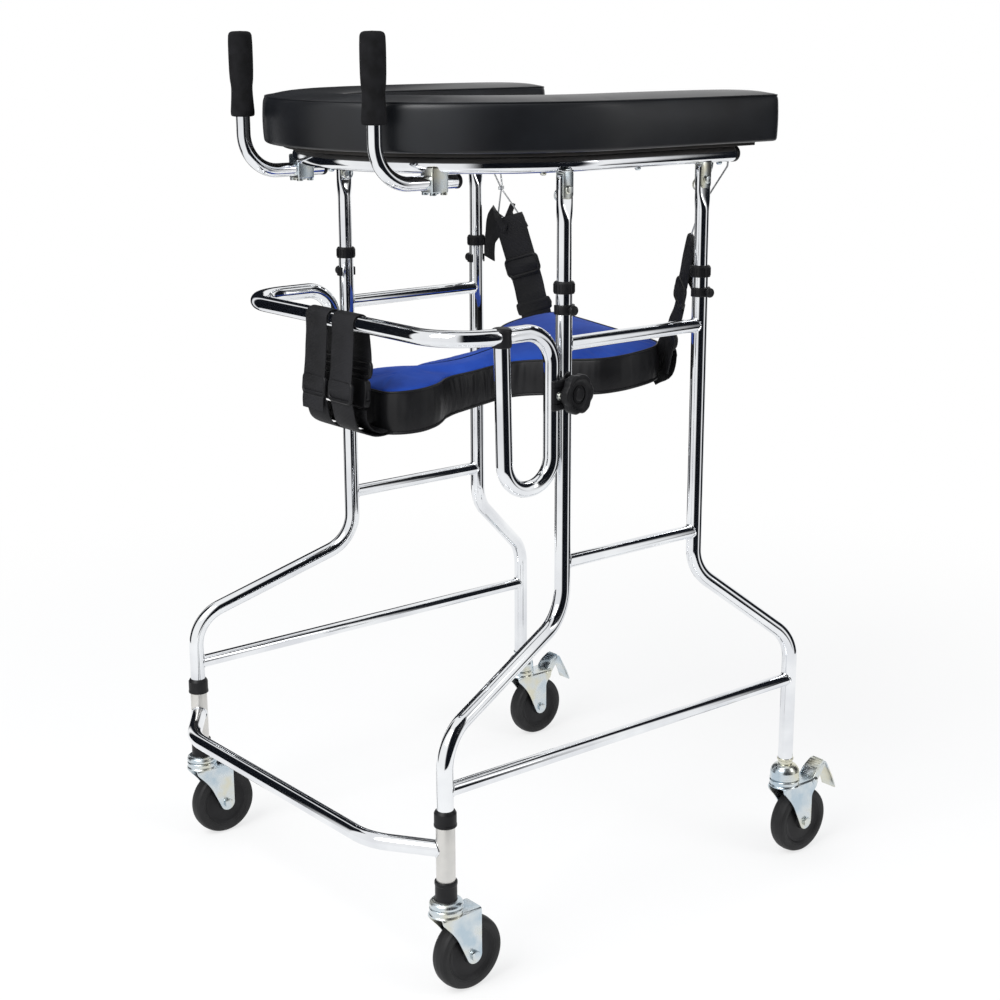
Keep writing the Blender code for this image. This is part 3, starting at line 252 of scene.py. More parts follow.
def standing_card(name, radius, start, stop, high):
    """A curved dark card on the floor, from one bearing to another in degrees, seen only in reflections."""
    points, faces = [], []
    for i in range(CARD_STEPS + 1):
        a = math.radians(start + (stop - start) * i / CARD_STEPS)
        points += [(radius * math.cos(a), radius * math.sin(a), z) for z in (0.0, high)]
    for i in range(CARD_STEPS):
        faces.append((2 * i, 2 * i + 1, 2 * i + 3, 2 * i + 2))
    made = stage_mesh(name, points, faces, card_material)
    across_map = made.data.uv_layers.new(name="card")
    for loop in made.data.loops:
        across_map.data[loop.index].uv = (loop.vertex_index // 2 / CARD_STEPS, loop.vertex_index % 2)
    made.visible_camera = False
    made.visible_diffuse = False
    made.visible_shadow = False


standing_card("card_right", 1.60, -50, 32, 3.2)
standing_card("card_behind_right", 1.60, 37, 84, 2.6)
standing_card("card_behind_left", 1.75, 140, 190, 2.5)
standing_card("card_front_left", 1.90, -168, -124, 2.5)


LAMP_AIM = Vector((0, 0, 0.7))


def soft_lamp(name, place, size, power):
    """A square area lamp that faces the middle of the object."""
    data = bpy.data.lights.new(name, "AREA")
    data.size = size
    data.energy = power
    made = bpy.data.objects.new(name, data)
    made.location = place
    made.rotation_euler = (LAMP_AIM - Vector(place)).to_track_quat("-Z", "Y").to_euler()
    WORKSHOP.objects.link(made)


soft_lamp("key_light", (0.6, -3.0, 3.4), 2.2, 130)
soft_lamp("fill_light", (3.2, 1.2, 2.2), 1.8, 30)
print("floor, world, 4 cards, 2 lamps")

# %% [markdown]
# ## Finishes
# Each finish is named for the real material. Patterns read Object coordinates, which are metres here,
# so a noise of scale 700 has features of about 1.4 mm. Metals differ in tint, roughness and in how
# they were worked; plastics, foam, leather cloth and rubber differ mostly in roughness and in grain.

# %% Finish builder
def finish(name, colours, roughness, metallic=0.0, drift=8.0, grain=None, specular=0.5, sheen=(0.0, 0.5)):
    """A Principled finish: colours and roughness drift with a slow noise, and a fine grain gives the bump.

    grain is (kind, scale, height in metres, strength), with kind noise or cells, and sheen is (weight,
    roughness).
    """
    made = blank_material(name)
    tree = made.node_tree
    place = add_node(tree, "ShaderNodeTexCoord").outputs["Object"]
    slow = add_node(tree, "ShaderNodeTexNoise", {}, {"Vector": place, "Scale": drift, "Detail": 3.0})
    stops = [(0.35 + 0.3 * i / (len(colours) - 1), c) for i, c in enumerate(colours)]
    shader = add_node(tree, "ShaderNodeBsdfPrincipled", {}, {
        "Base Color": ramp(tree, slow.outputs["Fac"], stops), "Metallic": metallic,
        "Roughness": spread(tree, slow.outputs["Fac"], *roughness), "Specular IOR Level": specular,
        "Sheen Weight": sheen[0], "Sheen Roughness": sheen[1]})
    if grain:
        kind, scale, height, strength = grain
        if kind == "cells":
            fine = add_node(tree, "ShaderNodeTexVoronoi", {"feature": "DISTANCE_TO_EDGE"},
                            {"Vector": place, "Scale": scale}).outputs["Distance"]
        else:
            fine = add_node(tree, "ShaderNodeTexNoise", {},
                            {"Vector": place, "Scale": scale, "Detail": 2.0}).outputs["Fac"]
        bump = add_node(tree, "ShaderNodeBump", {},
                        {"Height": fine, "Distance": height, "Strength": strength})
        tree.links.new(bump.outputs["Normal"], shader.inputs["Normal"])
    add_node(tree, "ShaderNodeOutputMaterial", {}, {"Surface": shader.outputs[0]})
    return made


# %% Metals
# Bright chromium plate over steel tube: almost a mirror, with faint waves from the drawing of the tube
CHROME = finish("chrome_plate", ["DDDFE3", "EEF0F2"], (0.035, 0.075), metallic=1.0, drift=14.0,
                grain=("noise", 26.0, 0.0004, 0.10))
# Satin plate on the sleeves of the front bar: turned lines soften every reflection
SATIN = finish("satin_plate", ["CFCECB", "DCDAD6"], (0.30, 0.40), metallic=1.0, drift=30.0,
               grain=("noise", 900.0, 0.0001, 0.12))
# Zinc plate on the pressed caster parts, passivated: a bluish to straw tint that drifts over the sheet
ZINC = finish("zinc_plate", ["B7C7D2", "D2D9DC", "D8D6C4"], (0.20, 0.34), metallic=1.0, drift=24.0,
              grain=("noise", 700.0, 0.0001, 0.10))
# Galvanized spring wire of the strap hangers
WIRE = finish("galvanized_wire", ["B9BCBE", "D3D5D6"], (0.22, 0.32), metallic=1.0, drift=60.0,
              grain=("noise", 500.0, 0.0001, 0.10))
# Painted shade for the walls of the holes drilled in a tube: near black and matt, where the hole's own shadow
# falls
BORE_SHADE = finish("bore_shadow", ["0C0C0D", "1A1A1B"], (0.70, 0.80), drift=60.0)

# %% Plastics, rubber and foam
# Moulded black polypropylene, with the fine spark grain of its mould
PLASTIC = finish("black_moulding", ["121214", "1A1A1C"], (0.36, 0.48), drift=40.0,
                 grain=("noise", 1500.0, 0.0001, 0.20), specular=0.22)
# Solid black wheel polymer, a little greyer and matter where it runs
WHEEL = finish("wheel_polymer", ["1A1A1B", "262627"], (0.48, 0.62), drift=30.0,
               grain=("noise", 800.0, 0.0001, 0.18), specular=0.25)
# Closed-cell grip foam: matt, with pores of about a millimetre
FOAM = finish("grip_foam", ["121213", "1B1B1D"], (0.88, 0.96), drift=60.0,
              grain=("cells", 900.0, 0.0004, 0.45), specular=0.12)
# Black leather cloth of the forearm pad: pebble grain about 1.5 mm across, satin
VINYL = finish("black_leather_cloth", ["101114", "17191D"], (0.30, 0.40), drift=10.0,
               grain=("cells", 650.0, 0.0003, 0.16), specular=0.35)
# Black stained plywood board under the pad
BOARD = finish("stained_plywood", ["15120F", "241F1B"], (0.55, 0.70), drift=18.0,
               grain=("noise", 300.0, 0.0002, 0.3))
print("finishes", [m.name for m in bpy.data.materials if m.users])

# %% [markdown]
# ## Mesh helpers
# Round pieces are turned from a profile, plates are cut from an outline, and their corners are always
# softened a little, because a real edge catches a line of light. A finished shape is then copied to
# each place where the object has it. Its place goes into its mesh, so that every object stays at the
# origin, and a shape that is mirrored has its faces turned out again.

# %% Mesh helpers
def new_object(name, mesh, *materials):
    """An object for a mesh, with its materials."""
    made = bpy.data.objects.new(name, mesh)
    WORKSHOP.objects.link(made)
    for material in materials:
        made.data.materials.append(material)
    return made


def smooth(piece, angle=38.0):
    """Smooth shading that stays sharp at creases."""
    piece.data.shade_smooth()
    piece.data.set_sharp_from_angle(angle=math.radians(angle))
    return piece


def bake(piece):
    """Replaces a piece's mesh by what its modifiers make of it."""
    bpy.context.view_layer.update()
    done = bpy.data.meshes.new_from_object(piece.evaluated_get(bpy.context.evaluated_depsgraph_get()))
    piece.modifiers.clear()
    piece.data = done
    return piece


def soften(points, radius, closed=False, steps=3):
    """A 2-D outline with each corner replaced by a short arc."""
    corners = [Vector(p) for p in points]
    count = len(corners)
    made = []
    for i, here in enumerate(corners):
        if not closed and i in (0, count - 1):
            made.append(tuple(here))
            continue
        before = corners[i - 1]
        after = corners[(i + 1) % count]
        reach = min(radius, 0.45 * (here - before).length, 0.45 * (after - here).length)
        start = here + (before - here).normalized() * reach
        stop = here + (after - here).normalized() * reach
        for k in range(steps + 1):
            t = k / steps
            made.append(tuple(start * (1 - t) ** 2 + here * 2 * t * (1 - t) + stop * t ** 2))
    return made


def round_points(radius, count):
    """Points at even steps round a circle."""
    return [(radius * math.cos(2 * math.pi * i / count), radius * math.sin(2 * math.pi * i / count))
            for i in range(count)]


def mesh_from(work, name):
    """Writes a bmesh out as a mesh."""
    mesh = bpy.data.meshes.new(name)
    work.to_mesh(mesh)
    work.free()
    return mesh


def reworked(mesh, change):
    """Opens a mesh as a bmesh, changes it and writes it back."""
    work = bmesh.new()
    work.from_mesh(mesh)
    change(work)
    work.to_mesh(mesh)
    work.free()


def merge_slivers(work, reach):
    """Merges points closer than a reach and removes the faces that had no width."""
    bmesh.ops.remove_doubles(work, verts=work.verts, dist=reach)
    bmesh.ops.dissolve_degenerate(work, edges=work.edges, dist=reach)


ON_AXIS = 0.000001


def lathe(name, profile, material, steps=48, edge=0.0006):
    """A piece turned about Z from (radius, height) points that run from one end of its axis to the other."""
    work = bmesh.new()
    rings = []
    for r, z in soften(profile, edge):
        if r < ON_AXIS:
            rings.append([work.verts.new((0, 0, z))])
        else:
            rings.append([work.verts.new((x, y, z)) for x, y in round_points(r, steps)])
    if len(rings[0]) > 1 and len(rings[-1]) > 1:
        rings.append(rings[0])
    for one, two in zip(rings, rings[1:]):
        for i in range(steps):
            k = (i + 1) % steps
            corners = [one[i % len(one)], one[k % len(one)], two[k % len(two)], two[i % len(two)]]
            corners = list(dict.fromkeys(corners))
            if len(corners) > 2:
                work.faces.new(corners)
    bmesh.ops.recalc_face_normals(work, faces=work.faces)
    return smooth(new_object(name, mesh_from(work, name), material))


def round_edges(piece, width, segments=2, angle=50.0):
    """Rounds every edge that is sharper than an angle."""
    step = piece.modifiers.new("round_edges", "BEVEL")
    step.width = width
    step.segments = segments
    step.limit_method = "ANGLE"
    step.angle_limit = math.radians(angle)
    return bake(piece)


def plate(name, outline, thickness, material, edge=0.0005, segments=2):
    """A flat outline in X and Y made a plate, centred on Z = 0, with its edges rounded."""
    work = bmesh.new()
    face = work.faces.new([work.verts.new((x, y, -thickness / 2)) for x, y in outline])
    grown = bmesh.ops.extrude_face_region(work, geom=[face])
    for item in grown["geom"]:
        if isinstance(item, bmesh.types.BMVert):
            item.co.z += thickness
    bmesh.ops.recalc_face_normals(work, faces=work.faces)
    piece = new_object(name, mesh_from(work, name), material)
    if edge:
        round_edges(piece, edge, segments)
    return smooth(piece)


def brick(name, size, material, edge=0.001, segments=3):
    """A box of a size, centred on the origin, with rounded edges."""
    return plate(name, rectangle(size[0] / 2, size[1] / 2), size[2], material, edge, segments)


def place(piece, matrix):
    """Moves a shape by a matrix, in its mesh."""
    piece.data.transform(matrix)
    if matrix.determinant() < 0:
        piece.data.flip_normals()
    piece.data.update()
    return piece


# What a cut leaves that is shorter than this is merged, because it would print as a loose speck
SLIVER = 0.000004


def carve(piece, *others, operation="DIFFERENCE"):
    """Cuts pieces away from a piece, or joins them on, and removes them."""
    for other in others:
        step = piece.modifiers.new("carve", "BOOLEAN")
        step.operation = operation
        step.solver = "EXACT"
        step.material_mode = "TRANSFER"
        step.object = other
        bake(piece)
        bpy.data.objects.remove(other, do_unlink=True)
    reworked(piece.data, lambda work: merge_slivers(work, SLIVER))
    return piece


def gather(name, *shapes):
    """Several shapes as one piece, each with its own material."""
    work = bmesh.new()
    materials = []
    for shape in shapes:
        part = shape.data.copy()
        slots = []
        for material in shape.data.materials:
            if material not in materials:
                materials.append(material)
            slots.append(materials.index(material))
        for polygon in part.polygons:
            polygon.material_index = slots[min(polygon.material_index, len(slots) - 1)]
        work.from_mesh(part)
        bpy.data.meshes.remove(part)
        bpy.data.objects.remove(shape, do_unlink=True)
    return new_object(name, mesh_from(work, name), *materials)


def settle(piece, body, slot, *nodes):
    """A piece takes its body and stands for the CAD nodes named. Its slot is not used."""
    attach(piece, body)
    if nodes:
        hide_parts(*nodes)
    return piece


def twin(shape, name, matrix):
    """A copy of a shape, moved by a matrix."""
    made = bpy.data.objects.new(name, shape.data.copy())
    WORKSHOP.objects.link(made)
    return place(made, matrix)


def copy_to(shape, name, matrix, body, slot, *nodes):
    """A copy of a shape, moved by a matrix and settled."""
    return settle(twin(shape, name, matrix), body, slot, *nodes)


def discard(*shapes):
    """Removes shapes that were only copied from."""
    for shape in shapes:
        bpy.data.objects.remove(shape, do_unlink=True)


UNMOVED = Matrix.Identity(4)
MIRROR_X = Matrix.Diagonal((-1, 1, 1, 1))
PLATE_TO_YZ = Matrix(((0, 0, 1, 0), (1, 0, 0, 0), (0, 1, 0, 0), (0, 0, 0, 1)))
Z_TO_X = rotation(90, "Y")
Z_TO_Y = rotation(-90, "X")


def to_side(side):
    """No change for the left side, and a mirror image for the right."""
    return UNMOVED if side > 0 else MIRROR_X


def on_both_sides(shape, piece, body, slot, node, where=UNMOVED):
    """Copies a left-hand shape to both sides and removes it. The body's {} stands for left or right."""
    for label, side in SIDES.items():
        copy_to(shape, f"{label}_{piece}", to_side(side) @ where, body.format(label), slot, f"{label}_{node}")
    discard(shape)


# %% [markdown]
# ## Bent tubes
# The frame is steel tube, bent cold on a machine that gives every corner a true arc. Geometry Nodes
# follow the same rule: bare edges give the corners of each run, a bend radius and a tube radius are
# stored on their points, Fillet Curve makes the arcs and Curve to Mesh puts the tube round them.
# Modelling each bend by hand would be slower and less even.

# %% Geometry Nodes helpers
def new_tree(name, inputs):
    """A Geometry Nodes group with a geometry input and output, and named inputs of (kind, name)."""
    tree = bpy.data.node_groups.new(name, "GeometryNodeTree")
    tree.interface.new_socket("Geometry", in_out="INPUT", socket_type="NodeSocketGeometry")
    for kind, label in inputs:
        tree.interface.new_socket(label, in_out="INPUT", socket_type="NodeSocket" + kind)
    tree.interface.new_socket("Geometry", in_out="OUTPUT", socket_type="NodeSocketGeometry")
    return tree, tree.nodes.new("NodeGroupInput").outputs


def end_tree(tree, geometry, given):
    """Ends a group with real geometry and its material."""
    real = add_node(tree, "GeometryNodeRealizeInstances", {}, {"Geometry": geometry})
    painted = add_node(tree, "GeometryNodeSetMaterial", {},
                       {"Geometry": real.outputs[0], "Material": given["Material"]})
    add_node(tree, "NodeGroupOutput", {}, {0: painted.outputs[0]})
    return tree


def named(tree, attribute):
    """A number stored on the points."""
    field = add_node(tree, "GeometryNodeInputNamedAttribute", {"data_type": "FLOAT"}, {"Name": attribute})
    return field.outputs[0]


def as_curve(tree, given):
    """The given edges as a curve."""
    return add_node(tree, "GeometryNodeMeshToCurve", {}, {"Mesh": given["Geometry"]}).outputs[0]


def with_bends(tree, given, steps):
    """The given edges as a curve with a true arc at each corner."""
    arcs = add_node(tree, "GeometryNodeFilletCurve", {"mode": "POLY"},
                    {"Curve": as_curve(tree, given), "Count": steps, "Radius": named(tree, "bend"),
                     "Limit Radius": True})
    return arcs.outputs[0]


def sweep(tree, curve, sides, scale, **more):
    """A round section carried along a curve, its size set by a number on the points."""
    ring = add_node(tree, "GeometryNodeCurvePrimitiveCircle", {}, {"Resolution": sides, "Radius": 1.0})
    wall = add_node(tree, "GeometryNodeCurveToMesh", {},
                    {"Curve": curve, "Profile Curve": ring.outputs[0], "Scale": scale, **more})
    return wall.outputs[0]


def set_on(tree, points, given, **turn):
    """Sets the given shape on each point, and ends the group."""
    shape = add_node(tree, "GeometryNodeObjectInfo", {}, {"Object": given["Shape"]})
    row = add_node(tree, "GeometryNodeInstanceOnPoints", {},
                   {"Points": points, "Instance": shape.outputs["Geometry"], **turn})
    return end_tree(tree, row.outputs[0], given)


def grow(name, mesh, tree, **values):
    """Runs a Geometry Nodes group on a mesh and keeps the result as a plain mesh."""
    piece = new_object(name, mesh)
    step = piece.modifiers.new("grow", "NODES")
    step.node_group = tree
    for item in tree.interface.items_tree:
        if item.in_out == "INPUT" and item.name in values:
            step[item.identifier] = values[item.name]
    bake(piece)
    return smooth(piece)


def lines(name, runs, closed=False):
    """Bare edges along runs of (x, y, z, bend radius) points; each run is (tube radius, points)."""
    mesh = bpy.data.meshes.new(name)
    points, edges, bends, radii = [], [], [], []
    for radius, run in runs:
        first = len(points)
        for p in run:
            points.append(tuple(p[:3]))
            bends.append(p[3] if len(p) > 3 else 0.0)
            radii.append(radius)
        edges += [(i, i + 1) for i in range(first, len(points) - 1)]
        if closed:
            edges.append((len(points) - 1, first))
    mesh.from_pydata(points, edges, [])
    for label, values in (("bend", bends), ("tube_radius", radii)):
        mesh.attributes.new(label, "FLOAT", "POINT").data.foreach_set("value", values)
    return mesh


# %% The bent tube group
BENT_TUBE, given = new_tree("bent_tube", [("Int", "Bend Steps"), ("Int", "Sides"), ("Material", "Material")])
wall = sweep(BENT_TUBE, with_bends(BENT_TUBE, given, given["Bend Steps"]), given["Sides"],
             named(BENT_TUBE, "tube_radius"), **{"Fill Caps": True})
end_tree(BENT_TUBE, wall, given)


def tubes(name, runs, material, sides=40, bend_steps=20, closed=False):
    """Bent tubes, each given as (tube radius, points)."""
    return grow(name, lines(name, runs, closed), BENT_TUBE,
                **{"Bend Steps": bend_steps, "Sides": sides, "Material": material})


# %% [markdown]
# ## Side frames
# Each side is two bent legs and three straight bars, welded before plating. A leg drops from its
# upright, swings out and forward or back at two bends, and ends over its caster.

# %% Side frames
TUBE_R, BAR_R, INNER_R = 0.011, 0.0095, 0.0097
BASE_HALF, UPRIGHT_HALF = 0.310, 0.248
LEG_Y = {"front": -0.33755, "rear": 0.30445}
UPRIGHT_Y = {"front": -0.08805, "rear": 0.16095}
KNEES = {"front": (0.450, 0.354), "rear": (0.468, 0.348)}
BEND_R = 0.060
UPRIGHT_TOP, LEG_FOOT = 0.8965, 0.1585
BAR_HEIGHTS = {0.285: (BASE_HALF, LEG_Y), 0.525: (UPRIGHT_HALF, UPRIGHT_Y), 0.821: (UPRIGHT_HALF, UPRIGHT_Y)}


def leg_run(end):
    """The corners of a leg, from the upright's top down to its foot."""
    upper, lower = KNEES[end]
    return [(UPRIGHT_HALF, UPRIGHT_Y[end], UPRIGHT_TOP), (UPRIGHT_HALF, UPRIGHT_Y[end], upper, BEND_R),
            (BASE_HALF, LEG_Y[end], lower, BEND_R), (BASE_HALF, LEG_Y[end], LEG_FOOT)]


bars = [(BAR_R, [(x, ys["front"], z), (x, ys["rear"], z)]) for z, (x, ys) in BAR_HEIGHTS.items()]
side_tubes = tubes("side_tubes", [(TUBE_R, leg_run("front")), (TUBE_R, leg_run("rear")), *bars], CHROME)
print("side frame", len(side_tubes.data.polygons), "faces")

# %% [markdown]
# ## Weld beads
# Where a bar meets an upright the welder runs a bead round it. Seen close, it is a saddle-shaped ring
# with ripples, softened by the plating. The saddle is worked out from the two radii, and a second
# Geometry Nodes group sweeps a small round along it whose size ripples.

# %% Weld beads
BEAD, given = new_tree("weld_bead", [("Float", "Bead Radius"), ("Float", "Ripples"),
                                     ("Float", "Ripple Depth"), ("Material", "Material")])
along = add_node(BEAD, "GeometryNodeSplineParameter")
wave = maths(BEAD, "SINE", maths(BEAD, "MULTIPLY", along.outputs["Factor"], given["Ripples"]))
depth = maths(BEAD, "MULTIPLY_ADD", wave, given["Ripple Depth"], given["Bead Radius"])
end_tree(BEAD, sweep(BEAD, as_curve(BEAD, given), 8, depth), given)


def saddle(post, direction, post_r, bar_r, steps=72):
    """The ring where a bar leaves a vertical post in a level direction."""
    post, d = Vector(post), Vector(direction).normalized()
    across = Vector((-d.y, d.x, 0))
    ring = []
    for i in range(steps):
        a = 2 * math.pi * i / steps
        u, w = bar_r * math.cos(a), bar_r * math.sin(a)
        ring.append(post + d * math.sqrt(post_r ** 2 - u ** 2) + across * u + Vector((0, 0, w)))
    return ring


RIPPLE_DEPTH = 0.00018


def weld(name, rings, radius=0.0013, ripples=26):
    """Beads along closed rings of points."""
    return grow(name, lines(name, [(1.0, ring) for ring in rings], closed=True), BEAD,
                **{"Bead Radius": radius, "Ripples": ripples * 2 * math.pi, "Ripple Depth": RIPPLE_DEPTH,
                   "Material": CHROME})


rings = []
for z, (x, ys) in BAR_HEIGHTS.items():
    rings.append(saddle((x, ys["front"], z), (0, 1, 0), TUBE_R, BAR_R))
    rings.append(saddle((x, ys["rear"], z), (0, -1, 0), TUBE_R, BAR_R))
side_shape = gather("side_shape", side_tubes, weld("side_welds", rings))
on_both_sides(side_shape, "side_tubing", "base", "chrome_tube", "side_frame")
print("2 side frames with", 2 * len(rings), "weld beads")

# %% [markdown]
# ## Front bar
# One tube joins the front feet. It runs ahead of the legs and bends back into a satin sleeve on each
# side, and the bent leg slips into that sleeve from above.

# %% Front bar and sleeves
FRONT_BAR_Z, FRONT_REACH, FRONT_INSET, FRONT_BEND = 0.205, 0.060, 0.085, 0.090
SLEEVE_R, SLEEVE_TOP, SLEEVE_BEAD_R = 0.0125, 0.246, 0.0016
front_y = LEG_Y["front"] - FRONT_REACH
front_run = [(BASE_HALF, LEG_Y["front"], FRONT_BAR_Z),
             (BASE_HALF - FRONT_INSET, front_y, FRONT_BAR_Z, FRONT_BEND),
             (FRONT_INSET - BASE_HALF, front_y, FRONT_BAR_Z, FRONT_BEND),
             (-BASE_HALF, LEG_Y["front"], FRONT_BAR_Z)]
front_tube = tubes("front_tube", [(TUBE_R, front_run)], CHROME)
sleeve_rings = [saddle((side * BASE_HALF, LEG_Y["front"], FRONT_BAR_Z),
                       (-side * FRONT_INSET, -FRONT_REACH, 0), SLEEVE_R, TUBE_R) for side in SIDES.values()]
front_bar = gather("front_bar_tubing", front_tube, weld("sleeve_welds", sleeve_rings, SLEEVE_BEAD_R))
settle(front_bar, "base", "chrome_tube", "front_bar")
sleeve_profile = [(0, LEG_FOOT), (SLEEVE_R, LEG_FOOT), (SLEEVE_R, SLEEVE_TOP), (0, SLEEVE_TOP)]
sleeves = [place(lathe("sleeve", sleeve_profile, SATIN), shift(side * BASE_HALF, LEG_Y["front"], 0))
           for side in SIDES.values()]
settle(gather("front_leg_sleeves", *sleeves), "base", "chrome_tube")
print("front bar", round(2 * (BASE_HALF - FRONT_INSET), 3), "m between its bends")

# %% [markdown]
# ## Collars and guide bushes
# Moulded rings cover the steps between tubes: a collar over each front sleeve, and a ribbed guide bush
# on each upright, which the inner tube slides through. A ring is turned, and its ribs repeat round it,
# so one Geometry Nodes group sets a rib on each point of a circle.

# %% Ribbed rings
RIB_RING, given = new_tree("rib_ring", [("Int", "Ribs"), ("Float", "Ring Radius"), ("Vector", "Rib Size"),
                                        ("Material", "Material")])
circle = add_node(RIB_RING, "GeometryNodeMeshCircle", {},
                  {"Vertices": given["Ribs"], "Radius": given["Ring Radius"]})
rib = add_node(RIB_RING, "GeometryNodeMeshCube", {}, {"Size": given["Rib Size"]})
spot = add_node(RIB_RING, "GeometryNodeInputPosition")
facing = add_node(RIB_RING, "FunctionNodeAlignRotationToVector", {"axis": "X"}, {"Vector": spot.outputs[0]})
ribs = add_node(RIB_RING, "GeometryNodeInstanceOnPoints", {},
                {"Points": circle.outputs[0], "Instance": rib.outputs[0], "Rotation": facing.outputs[0]})
rings = add_node(RIB_RING, "GeometryNodeInstanceOnPoints", {},
                 {"Points": given["Geometry"], "Instance": ribs.outputs[0]})
end_tree(RIB_RING, rings.outputs[0], given)


def rib_ring(name, height, radius, count, size):
    """Ribs of a size round the Z axis, at a height."""
    spot = bpy.data.meshes.new(name)
    spot.from_pydata([(0, 0, height)], [], [])
    return grow(name, spot, RIB_RING,
                **{"Ribs": count, "Ring Radius": radius, "Rib Size": size, "Material": PLASTIC})


# %% Sleeve collars
COLLAR_LOW, COLLAR_TOP, COLLAR_R, COLLAR_LIP_R = 0.238, 0.260, 0.0146, 0.0150
collar = lathe("collar", [(0, COLLAR_LOW), (COLLAR_LIP_R, COLLAR_LOW), (COLLAR_LIP_R, COLLAR_LOW + 0.003),
                          (COLLAR_R, COLLAR_LOW + 0.004), (COLLAR_R, COLLAR_TOP - 0.004),
                          (TUBE_R + 0.0012, COLLAR_TOP), (0, COLLAR_TOP)], PLASTIC)
on_both_sides(collar, "collar", "base", "black_plastic", "sleeve_collar",
              shift(BASE_HALF, LEG_Y["front"], 0))


# %% Guide bushes
def on_uprights(shape, piece, height, body, slot, node):
    """Copies a shape to the four uprights and removes it. The body's {} stands for the upright's name."""
    for label, side in SIDES.items():
        for end, y in UPRIGHT_Y.items():
            corner = f"{label}_{end}"
            there = shift(side * UPRIGHT_HALF, y, height) @ to_side(side)
            copy_to(shape, f"{corner}_{piece}", there, body.format(corner), slot, f"{corner}_{node}")
    discard(shape)


BUSH_LOW, BUSH_TOP, BUSH_R, BUSH_MOUTH_R = 0.8875, 0.9035, 0.0136, 0.0118
BUSH_RIBS_Z, BUSH_RIB_SIZE = 0.8948, (0.0012, 0.0016, 0.0105)
bush_body = lathe("bush_body", [(0, BUSH_LOW), (BUSH_R, BUSH_LOW), (BUSH_R, BUSH_TOP - 0.002),
                                (BUSH_MOUTH_R, BUSH_TOP), (0, BUSH_TOP)], PLASTIC)
bush = gather("bush", bush_body, rib_ring("bush_ribs", BUSH_RIBS_Z, BUSH_R, 20, BUSH_RIB_SIZE))
on_uprights(bush, "bush", 0, "base", "black_plastic", "upright_bush")
print("2 collars, 4 bushes")

# %% [markdown]
# ## Height clips
# Below each bush a half ring snaps round the upright. Its knob pulls a pin out of the row of holes.
# The ring is an outline made a plate, and the knob is turned like a drawer knob.

# %% Height clips
CLIP_Z, CLIP_HEIGHT, CLIP_IN, CLIP_OUT = 0.867, 0.0125, 0.0113, 0.0141


def arc(centre, radius, start, stop, steps):
    """Points on an arc, from one angle to another in degrees."""
    angles = [math.radians(start + (stop - start) * i / steps) for i in range(steps + 1)]
    return [(centre[0] + radius * math.cos(a), centre[1] + radius * math.sin(a)) for a in angles]


clip_band = plate("clip_band", arc((0, 0), CLIP_OUT, -112, 112, 30) + arc((0, 0), CLIP_IN, 112, -112, 30),
                  CLIP_HEIGHT, PLASTIC, 0.0008)
clip_knob = lathe("clip_knob", [(0, 0.0122), (0.0046, 0.0122), (0.0046, 0.0150), (0.0062, 0.0162),
                                (0.0068, 0.0188), (0.0062, 0.0212), (0.0040, 0.0226), (0, 0.0230)],
                  PLASTIC, 32)
clip_ribs = [place(brick("clip_rib", (0.0012, 0.0030, CLIP_HEIGHT - 0.002), PLASTIC, 0.0003),
                   rotation(bearing, "Z") @ shift(CLIP_OUT, 0, 0)) for bearing in (-95, -78, 78, 95)]
clip = gather("clip", clip_band, place(clip_knob, Z_TO_X), *clip_ribs)
on_uprights(clip, "clip_ring", CLIP_Z, "{}_clip", "black_plastic", "height_clip")
print("4 clips")

# %% [markdown]
# ## Inner tubes
# Four telescoping tubes carry the top. Each has real holes on a pitch of 25.6 mm, and its top is
# squeezed flat to fit between the plates of its bracket. Rings of points change from a circle to a
# flat oval on the way up, and round cutters then drill the holes. Of the eight cuts only four come
# through, and none of those above the bush does.

# %% Inner tubes
FRAME_Z = 1.052
TAB_TOP, TAB_LOW, ROUND_TOP, INNER_FOOT = 1.0395, 1.0075, 0.9775, 0.600
TAB_HALF_THICK, TAB_HALF_WIDE, TAB_CORNER = 0.0050, 0.0115, 0.006
HOLE_PITCH, HOLE_R = 0.0256, 0.0032


def oval(half_x, half_y, power, z, steps=48):
    """A ring between a circle and a rounded bar: power 2 is an ellipse."""
    ring = []
    for c, s in round_points(1.0, steps):
        ring.append((half_x * math.copysign(abs(c) ** (2 / power), c),
                     half_y * math.copysign(abs(s) ** (2 / power), s), z))
    return ring


def loft(name, rings, material, angle=38.0):
    """A closed skin over rings of equal count, with a flat face at each end."""
    count = len(rings[0])
    points = [p for ring in rings for p in ring]
    faces = []
    for r in range(len(rings) - 1):
        for i in range(count):
            k = (i + 1) % count
            faces.append((r * count + i, r * count + k, (r + 1) * count + k, (r + 1) * count + i))
    faces += [tuple(range(count))[::-1], tuple(range(len(points) - count, len(points)))]
    mesh = bpy.data.meshes.new(name)
    mesh.from_pydata(points, [], faces)
    reworked(mesh, lambda work: bmesh.ops.recalc_face_normals(work, faces=work.faces))
    return smooth(new_object(name, mesh, material), angle)


def eased(t):
    """A share that leaves 0 and reaches 1 softly."""
    t = min(max(t, 0), 1)
    return t * t * (3 - 2 * t)


def squeezed_ring(z):
    """The inner tube's section at a height: round below, a flat tab with round corners on top."""
    share = eased((z - ROUND_TOP) / (TAB_LOW - ROUND_TOP))
    wide = INNER_R + share * (TAB_HALF_WIDE - INNER_R)
    if z > TAB_TOP - TAB_CORNER:
        wide += math.sqrt(max(TAB_CORNER ** 2 - (z - TAB_TOP + TAB_CORNER) ** 2, 0)) - TAB_CORNER
    return oval(INNER_R + share * (TAB_HALF_THICK - INNER_R), wide, 2 + 3 * share, z)


